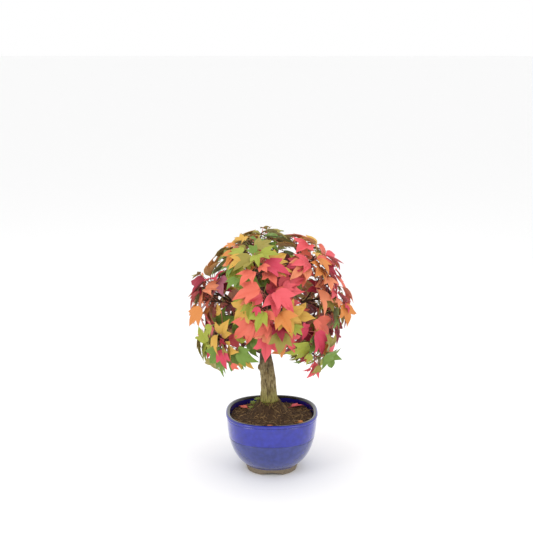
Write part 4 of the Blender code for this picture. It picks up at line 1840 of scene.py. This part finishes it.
    def hang(self, rng: random.Random) -> None:
        """Hangs opposite leaves at each mass's nodes, and turns each leaf until it has room.

        Args:
            rng: the random draws.
        """
        ranks = 3
        for rank in range(ranks):
            for mass in self.masses:
                for node, along, number in self.nodes(mass)[rank]:
                    first = along.orthogonal().normalized()
                    side = turned(first, along.cross(along.orthogonal()), rng.uniform(0, self.node_roll))
                    for way in (side, -side):
                        for attempt in range(self.leaf_tries):
                            leaf = self.propose(node, way, rng, attempt / self.leaf_tries)
                            probe = self.fits(leaf, mass)
                            if probe:
                                mass.leaves.append((leaf, number))
                                self.taken.append((mass, probe))
                                break

    def refine(self, rng: random.Random) -> None:
        """Carries the twigs on to short sprigs, each with small young leaves where they have room.

        Args:
            rng: the random draws.
        """
        for mass in self.masses:
            for number, shoot in enumerate(mass.shoots):
                for start, end, _ in shoot.legs():
                    along = (end - start).normalized()
                    for share in self.sprig_nodes:
                        joint = start.lerp(end, share)
                        first = along.orthogonal().normalized()
                        side = turned(first, random_arrow(rng), rng.uniform(0, self.sprig_turn))
                        out = self.crown.outward(joint)
                        arrow = (along + self.sprig_aside * side + self.sprig_out * out).normalized()
                        tip = joint + rng.uniform(*self.sprig_length) * arrow
                        if not self.crown.holds(tip, self.sprig_margin):
                            continue
                        mass.sprigs.append((joint, tip))
                        for way in (side, -side):
                            for attempt in range(self.fine_tries):
                                leaf = self.propose(tip, way, rng, attempt / self.fine_tries)
                                leaf.stalk *= self.young_stalk
                                leaf.length = rng.uniform(*self.fine_length)
                                probe = self.fits(leaf, mass)
                                if probe:
                                    mass.leaves.append((leaf, number))
                                    self.taken.append((mass, probe))
                                    break

    def grow(self) -> None:
        """Grows the twigs, the leaves and the finer sprigs."""
        rng = random.Random(self.seed)
        for mass in self.masses:
            self.branch(mass, rng)
        self.hang(rng)
        log.info("leaves that the solids have too: %d", sum(len(mass.leaves) for mass in self.masses))
        self.refine(random.Random(self.seed + 1))
        log.info("leaves in all: %d", sum(len(mass.leaves) for mass in self.masses))


@dataclass(frozen=True)
class BladePattern:
    """One cut of a three-lobed blade, a unit long: long forward lobes, small side teeth and a round base."""

    lobe_along: float = 0.68
    lobe_across: float = 0.54
    notch: float = 0.19
    wave: float = 0.0
    thickness: float = 0.012
    lobe_corner: int = 5
    midrib_stops: tuple = ((0.30, 0.0), (0.55, 0.0), (0.78, 0.0))
    side_stops: tuple = ((0.34, 0.26), (0.34, -0.26))

    def half_outline(self) -> list[tuple[float, float]]:
        """Gives the right half of the outline.

        Returns:
            Its corners as along and across, from just after the base to just before the tip.
        """
        return [
            (0.020, 0.10),
            (0.075, 0.26 + self.wave),
            (0.220, 0.37),
            (0.400, 0.435 - self.wave),
            (self.lobe_along, self.lobe_across),
            (0.610, 0.395),
            (0.560, 0.27),
            (0.530, self.notch),
            (0.660, 0.185 + self.wave),
            (0.780, 0.135),
            (0.890, 0.065 - 0.5 * self.wave),
        ]

    def cut(self) -> tuple[list[tuple], list[tuple], list[int]]:
        """Cuts the blade with its veins as edges, and gives it a thickness.

        Returns:
            The points as along, across and level, the faces, and each face's material number.
        """
        half = self.half_outline()
        outline = [(0.0, 0.0)] + half + [(1.0, 0.0)] + [(along, -across) for along, across in reversed(half)]
        points = [Vector(point) for point in (*outline, *self.midrib_stops, *self.side_stops)]
        tip = len(half) + 1
        corners = len(outline)
        loop = [(index, (index + 1) % corners) for index in range(corners)]
        midrib = [0, corners, corners + 1, corners + 2, tip]
        right_vein = [0, corners + 3, self.lobe_corner]
        left_vein = [0, corners + 4, corners - self.lobe_corner]
        veins = [pair for line in (midrib, right_vein, left_vein) for pair in zip(line, line[1:])]
        inside_only = 1
        made, _, faces, _, _, _ = delaunay_2d_cdt(points, loop + veins, [], inside_only, WELD)
        bm = bmesh.new()
        verts = [bm.verts.new((point.x, point.y, 0.0)) for point in made]
        for face in faces:
            bm.faces.new([verts[index] for index in face])
        bmesh.ops.recalc_face_normals(bm, faces=bm.faces)
        if sum(face.normal.z for face in bm.faces) < 0:
            bmesh.ops.reverse_faces(bm, faces=bm.faces)
        bmesh.ops.solidify(bm, geom=bm.faces[:], thickness=self.thickness)
        bmesh.ops.recalc_face_normals(bm, faces=bm.faces)
        bm.verts.index_update()
        top = max(vertex.co.z for vertex in bm.verts)
        cut_points = [(vertex.co.x, vertex.co.y, vertex.co.z - top) for vertex in bm.verts]
        shapes = [tuple(vertex.index for vertex in face.verts) for face in bm.faces]
        kinds = [int(face.normal.z < -0.5) for face in bm.faces]
        bm.free()
        return cut_points, shapes, kinds


@dataclass
class Foliage:
    """The twigs, the leaf stalks and the blades of all the masses, dressed by spray."""

    masses: list[Mass]
    seed: int = 77
    stem_radii: tuple = (0.0018, 0.0016, 0.0014, 0.0012)
    twig_radius: float = 0.00115
    twig_tip: float = 0.00075
    stalk_radius: float = 0.00042
    green_tints: tuple = (Tint.GREEN, Tint.LIME, Tint.OLIVE, Tint.GOLD, Tint.GREEN)
    warm_tints: tuple = (Tint.AMBER, Tint.PEACH, Tint.SALMON, Tint.GOLD, Tint.PEACH)
    red_tints: tuple = (
        Tint.CORAL,
        Tint.SALMON,
        Tint.ROSE,
        Tint.CRIMSON,
        Tint.CORAL,
        Tint.MAUVE,
        Tint.RUSSET,
    )
    green_share: float = 0.20
    green_left: float = 0.24
    green_edge: float = 0.30
    green_top: float = 0.26
    warm_share: float = 0.34
    left_reach: float = 0.09
    edge_from: float = 0.070
    edge_reach: float = 0.025
    top_from: float = 0.255
    top_reach: float = 0.04
    own_tint: float = 0.45
    tint_steps: tuple = (-2, -1, 1, 2)
    cuts: tuple = (
        BladePattern(),
        BladePattern(0.62, 0.50, 0.22, 0.012),
        BladePattern(0.72, 0.47, 0.17, -0.012),
        BladePattern(0.58, 0.56, 0.20, 0.018),
    )
    fold_more: tuple = (-0.04, 0.30)
    droop_more: tuple = (-0.05, 0.28)
    lobe_hang: tuple = (0.0, 0.55)
    twist: tuple = (-0.30, 0.30)
    breadth: tuple = (0.86, 1.08)
    quilt: float = 0.35
    quilt_reach: float = 0.09
    side_vein_slope: float = 0.76
    sprig_bow: float = 0.0008
    sprig_radii: tuple = (0.00070, 0.00060, 0.00052, 0.00045)
    green_stalks: float = 0.5
    stalk_bow: float = 0.55
    stalk_arch: float = 0.10
    stalk_into_blade: float = 0.06
    stalk_shape: tuple = (1.5, 1.0, 1.0, 1.0, 1.2, 0.5)
    stem_sink: float = 0.0012
    leg_steps: int = 5
    shoot_wave: float = 0.0006
    joint_swelling: float = 1.18
    end_share: float = 0.8
    bud_stops: tuple = (0.0009, 0.0026)
    bud_radii: tuple = (0.0008, 0.0010, 0.0001)

    def patterns(self) -> list[tuple]:
        """Cuts a few unlike blades."""
        return [cut.cut() for cut in self.cuts]

    def palette(self, place: Vector, rng: random.Random) -> Tint:
        """Deals a spray's main tint: greener at the left, the right edge and the top left, redder elsewhere.

        Args:
            place: where the spray ends.
            rng: the random draws.

        Returns:
            The tint.
        """
        left = ramp(-place.x, self.left_reach)
        edge = ramp(place.x - self.edge_from, self.edge_reach)
        top = ramp(place.z - self.top_from, self.top_reach) * float(place.x < 0)
        green = self.green_share + self.green_left * left + self.green_edge * edge + self.green_top * top
        draw = rng.random()
        if draw < green:
            return rng.choice(self.green_tints)
        if draw < green + self.warm_share:
            return rng.choice(self.warm_tints)
        return rng.choice(self.red_tints)

    def neighbour(self, tint: Tint, rng: random.Random) -> Tint:
        """Gives a leaf's own tint near its spray's.

        Args:
            tint: the spray's tint.
            rng: the random draws.

        Returns:
            The same tint, or one a step or two away in the order of the tints.
        """
        if rng.random() < self.own_tint:
            return tint
        order = list(Tint)
        step = rng.choice(self.tint_steps)
        return order[min(max(order.index(tint) + step, 0), len(order) - 1)]

    def blade(self, leaf: Leaf, cut: tuple, rng: random.Random) -> tuple[list[Vector], list, list]:
        """Bends a cut blade into its place: folded along its veins, drooping, its lobes hanging a little.

        Args:
            leaf: the leaf.
            cut: the cut blade.
            rng: the random draws.

        Returns:
            Its points, its faces and each face's material number.
        """
        shape, faces, kinds = cut
        fold = leaf.cup + rng.uniform(*self.fold_more)
        droop = leaf.droop + rng.uniform(*self.droop_more)
        hang = rng.uniform(*self.lobe_hang)
        twist = rng.uniform(*self.twist)
        broad = rng.uniform(*self.breadth)
        side = leaf.midrib.cross(leaf.normal)
        points = []
        for along, across, level in shape:
            across = across * broad
            from_side_vein = abs(abs(across) - self.side_vein_slope * along)
            quilt = self.quilt * min(abs(across), from_side_vein, self.quilt_reach)
            height = fold * abs(across) - droop * along * along - hang * across * across
            height += quilt + twist * along * across + level
            place = along * leaf.midrib + across * side + height * leaf.normal
            points.append(leaf.base + leaf.length * place)
        return points, faces, kinds

    def build(self) -> None:
        """Builds twigs, sprigs, stalks and blades as joined pieces, each kind apart."""
        rng = random.Random(self.seed)
        twigs, sprigs = Heap("twigs"), Heap("sprigs_and_buds")
        stalks = {"red": Heap("red_leaf_stalks"), "green": Heap("green_leaf_stalks")}
        blades = {tint: Heap(f"{tint.name.lower()}_leaf_blades") for tint in Tint}
        patterns = self.patterns()
        for mass in self.masses:
            sprays = [self.palette(shoot.points[-1], rng) for shoot in mass.shoots]
            for shoot in mass.shoots:
                self.add_shoot(twigs, sprigs, shoot, mass, rng)
            for joint, tip in mass.sprigs:
                bow = joint.lerp(tip, 0.5) + self.sprig_bow * random_arrow(rng)
                sprigs.add(*tube(arc(joint, bow, tip, steps=3), self.sprig_radii, sides=5))
            for leaf, number in mass.leaves:
                tint = self.neighbour(sprays[number], rng)
                blades[tint].add(*self.blade(leaf, rng.choice(patterns), rng))
                green = tint in self.green_tints and rng.random() < self.green_stalks
                bow = leaf.root + self.stalk_bow * leaf.stalk + self.stalk_arch * leaf.stalk.length * UP
                into = leaf.base + self.stalk_into_blade * leaf.length * leaf.midrib
                line = arc(leaf.root, bow, leaf.base, steps=4) + [into]
                radii = [share * self.stalk_radius for share in self.stalk_shape]
                stalks["green" if green else "red"].add(*tube(line, radii, sides=5))
        wood = TWIG_BARK.material()
        foliage_nodes = [mass.name for mass in self.masses]
        add_piece("twigs", twigs.mesh(smooth=True), [wood], "bark", *foliage_nodes)
        add_piece("sprigs_and_buds", sprigs.mesh(smooth=True), [wood], "bark")
        for kind, heap in stalks.items():
            add_piece(heap.name, heap.mesh(smooth=True), [STALK_SKINS[kind].material()], "foliage")
        for tint, heap in blades.items():
            add_piece(heap.name, heap.mesh(), leaf_skins(tint), "foliage")

    def add_shoot(self, twigs: Heap, sprigs: Heap, shoot: Shoot, mass: Mass, rng: random.Random) -> None:
        """Adds a shoot as a tapering, slightly wavy tube, with a bud at its end.

        Args:
            twigs: the heap that the shoot goes to.
            sprigs: the heap that its bud goes to.
            shoot: the shoot.
            mass: the mass that it belongs to.
            rng: the random draws.
        """
        line: list[Vector] = []
        radii: list[float] = []
        points = list(shoot.points)
        if shoot.level == 0:
            points[0] = points[0] - self.stem_sink * mass.heading
        for index, (start, end) in enumerate(zip(points, points[1:])):
            if shoot.level == 0:
                low, high = self.stem_radii[index], self.stem_radii[index + 1]
            else:
                low, high = self.twig_radius, self.twig_tip
            for step in range(self.leg_steps):
                share = step / self.leg_steps
                wave = self.shoot_wave * math.sin(math.pi * share)
                line.append(start.lerp(end, share) + wave * random_arrow(rng))
                swelling = self.joint_swelling if step == 0 and index else 1.0
                radii.append((low + (high - low) * share) * swelling)
        line.append(points[-1])
        radii.append(self.end_share * high)
        twigs.add(*tube(line, radii, sides=7))
        along = (points[-1] - points[-2]).normalized()
        bud = [points[-1]] + [points[-1] + stop * along for stop in self.bud_stops]
        sprigs.add(*tube(bud, self.bud_radii, sides=6))


def leaf_skins(tint: Tint) -> list[bpy.types.Material]:
    """Gives a tint's two skins: the upper side and the underside.

    Args:
        tint: the tint.

    Returns:
        The upper side's material, then the underside's.
    """
    word = tint.name.lower()
    top = LeafSkin(f"{word}_leaf_upper_side", colour=tint.top)
    under = LeafSkin(f"{word}_leaf_underside", roughness=0.6, colour=tint.under)
    return [top.material(), under.material()]


@dataclass(frozen=True)
class Dropped:
    """Where one fallen leaf lies, the way that it points in degrees, its blade's length and its tint."""

    name: str
    x: float
    y: float
    turn: float
    length: float
    tint: Tint


@dataclass
class FallenLeaves:
    """The leaves that have dropped on the soil."""

    ground: BVHTree
    dropped: tuple = (
        Dropped("right", 0.0270, 0.0300, 18.0, 0.0175, Tint.CORAL),
        Dropped("left", -0.0330, 0.0270, 160.0, 0.0125, Tint.SALMON),
        Dropped("front", 0.0020, -0.0440, 175.0, 0.0130, Tint.PEACH),
        Dropped("corner", 0.0400, -0.0240, 165.0, 0.0140, Tint.AMBER),
    )
    plumb_from: float = 1.0
    levelling: float = 2.0
    stalk_share: float = 0.46
    stalk_rise: float = 0.15
    stalk_bow: float = 0.0006
    stalk_radii: tuple = (0.0004, 0.0003, 0.0003, 0.0003, 0.0003)
    lift: float = 0.0010
    droop: float = -0.10
    cup: float = 0.16

    def build(self, foliage: Foliage) -> None:
        """Lays each leaf on the soil with its edges curled up.

        Args:
            foliage: the foliage that cuts and bends the blades.
        """
        rng = random.Random(foliage.seed)
        cut = foliage.patterns()[1]
        for fallen in self.dropped:
            hit, normal, _, _ = self.ground.ray_cast(Vector((fallen.x, fallen.y, self.plumb_from)), DOWN)
            normal = (normal + self.levelling * UP).normalized()
            way = level_way(math.radians(fallen.turn))
            midrib = (way - way.project(normal)).normalized()
            stalk = self.stalk_share * fallen.length * (midrib + self.stalk_rise * normal).normalized()
            base = hit + self.lift * normal
            leaf = Leaf(base - stalk, stalk, midrib, normal, fallen.length, self.droop, self.cup)
            heap = Heap(f"dropped_leaf_{fallen.name}")
            heap.add(*foliage.blade(leaf, cut, rng))
            bow = leaf.root.lerp(base, 0.5) + self.stalk_bow * normal
            heap.add(*tube(arc(leaf.root, bow, base, steps=4), self.stalk_radii, sides=5))
            skins = leaf_skins(fallen.tint)
            add_piece(heap.name, heap.mesh(), skins, "foliage", f"fallen_leaf_{fallen.name}")


# Floor, light and camera


@dataclass(frozen=True)
class SoftBox:
    """One soft lamp: its place, its width and height in metres, and its watts."""

    name: str
    place: tuple[float, float, float]
    size: tuple[float, float]
    watts: float


@dataclass
class Studio:
    """A plain pale floor, soft studio light and the photograph's camera."""

    lamps: tuple = (
        SoftBox("soft_box_left", (-0.9, -0.8, 0.75), (0.5, 0.9), 3.6),
        SoftBox("soft_box_right", (0.9, -0.9, 0.65), (0.5, 0.9), 2.4),
        SoftBox("soft_box_above", (0.0, 0.1, 1.3), (1.1, 1.1), 3.6),
    )
    lamp_aim: tuple[float, float, float] = (0.0, 0.0, 0.15)
    world_colour: str = "#FFFFFF"
    world_strength: float = 1.0
    floor_half: float = 40.0
    floor_drop: float = 0.0002
    camera_place: tuple = (-0.0069, -1.2653, 0.5476)
    camera_pitch: float = math.radians(12.4)
    camera_lens: float = 68.99
    sensor: float = 36.0
    sight: float = 100.0

    def floor(self) -> None:
        """Lays the floor."""
        bm = bmesh.new()
        bmesh.ops.create_grid(bm, x_segments=1, y_segments=1, size=self.floor_half)
        bmesh.ops.translate(bm, verts=bm.verts, vec=(0, 0, -self.floor_drop))
        mesh = mesh_of("pale_floor", bm, smooth=False)
        matte = PlainFinish("matte_white_paper", roughness=0.95, colour="#FAFAFA")
        mesh.materials.append(matte.material())
        floor = bpy.data.objects.new("pale_floor", mesh)
        bpy.context.scene.collection.objects.link(floor)

    def light(self, box: SoftBox) -> None:
        """Adds a soft box that faces the tree.

        Args:
            box: the lamp.
        """
        lamp = bpy.data.lights.new(box.name, "AREA")
        lamp.shape = "RECTANGLE"
        lamp.size, lamp.size_y = box.size
        lamp.energy = box.watts
        holder = bpy.data.objects.new(box.name, lamp)
        bpy.context.scene.collection.objects.link(holder)
        holder.location = box.place
        aim = Vector(self.lamp_aim) - Vector(box.place)
        holder.rotation_euler = aim.to_track_quat("-Z", "Y").to_euler()

    def camera(self) -> None:
        """Adds the camera at the photograph's angle."""
        lens = bpy.data.cameras.new("camera")
        lens.lens = self.camera_lens
        lens.sensor_width = self.sensor
        lens.sensor_fit = "HORIZONTAL"
        lens.clip_end = self.sight
        holder = bpy.data.objects.new("camera", lens)
        bpy.context.scene.collection.objects.link(holder)
        holder.location = self.camera_place
        holder.rotation_euler = (math.pi / 2 - self.camera_pitch, 0, 0)
        bpy.context.scene.camera = holder

    def build(self) -> None:
        """Sets up the studio."""
        world = bpy.data.worlds.new("studio_white")
        world.use_nodes = True
        shade = world.node_tree.nodes["Background"]
        shade.inputs["Color"].default_value = linear(self.world_colour)
        shade.inputs["Strength"].default_value = self.world_strength
        scene = bpy.context.scene
        scene.world = world
        scene.view_settings.view_transform = "Standard"
        self.floor()
        for box in self.lamps:
            self.light(box)
        self.camera()


def main() -> None:
    """Dresses the tree from the pot up."""
    logging.basicConfig(level=logging.INFO, format="%(name)s: %(message)s")
    Studio().build()
    pot = Pot()
    pot.build()
    ground = Soil(pot).build()
    bark = MapleBark().material()
    trunk = Trunk()
    trunk.build(bark)
    masses = Boughs(trunk).build(bark)
    nodes = frame["nodes"]
    limb_names = ["trunk"] + [mass.name.replace("foliage", "bough") for mass in masses[:-1]] + ["leader"]
    limbs = [tree_of(nodes[name].data) for name in limb_names]
    GrowthRule(masses, limbs).grow()
    foliage = Foliage(masses)
    foliage.build()
    FallenLeaves(ground).build(foliage)


if __name__ == "__main__":
    main()
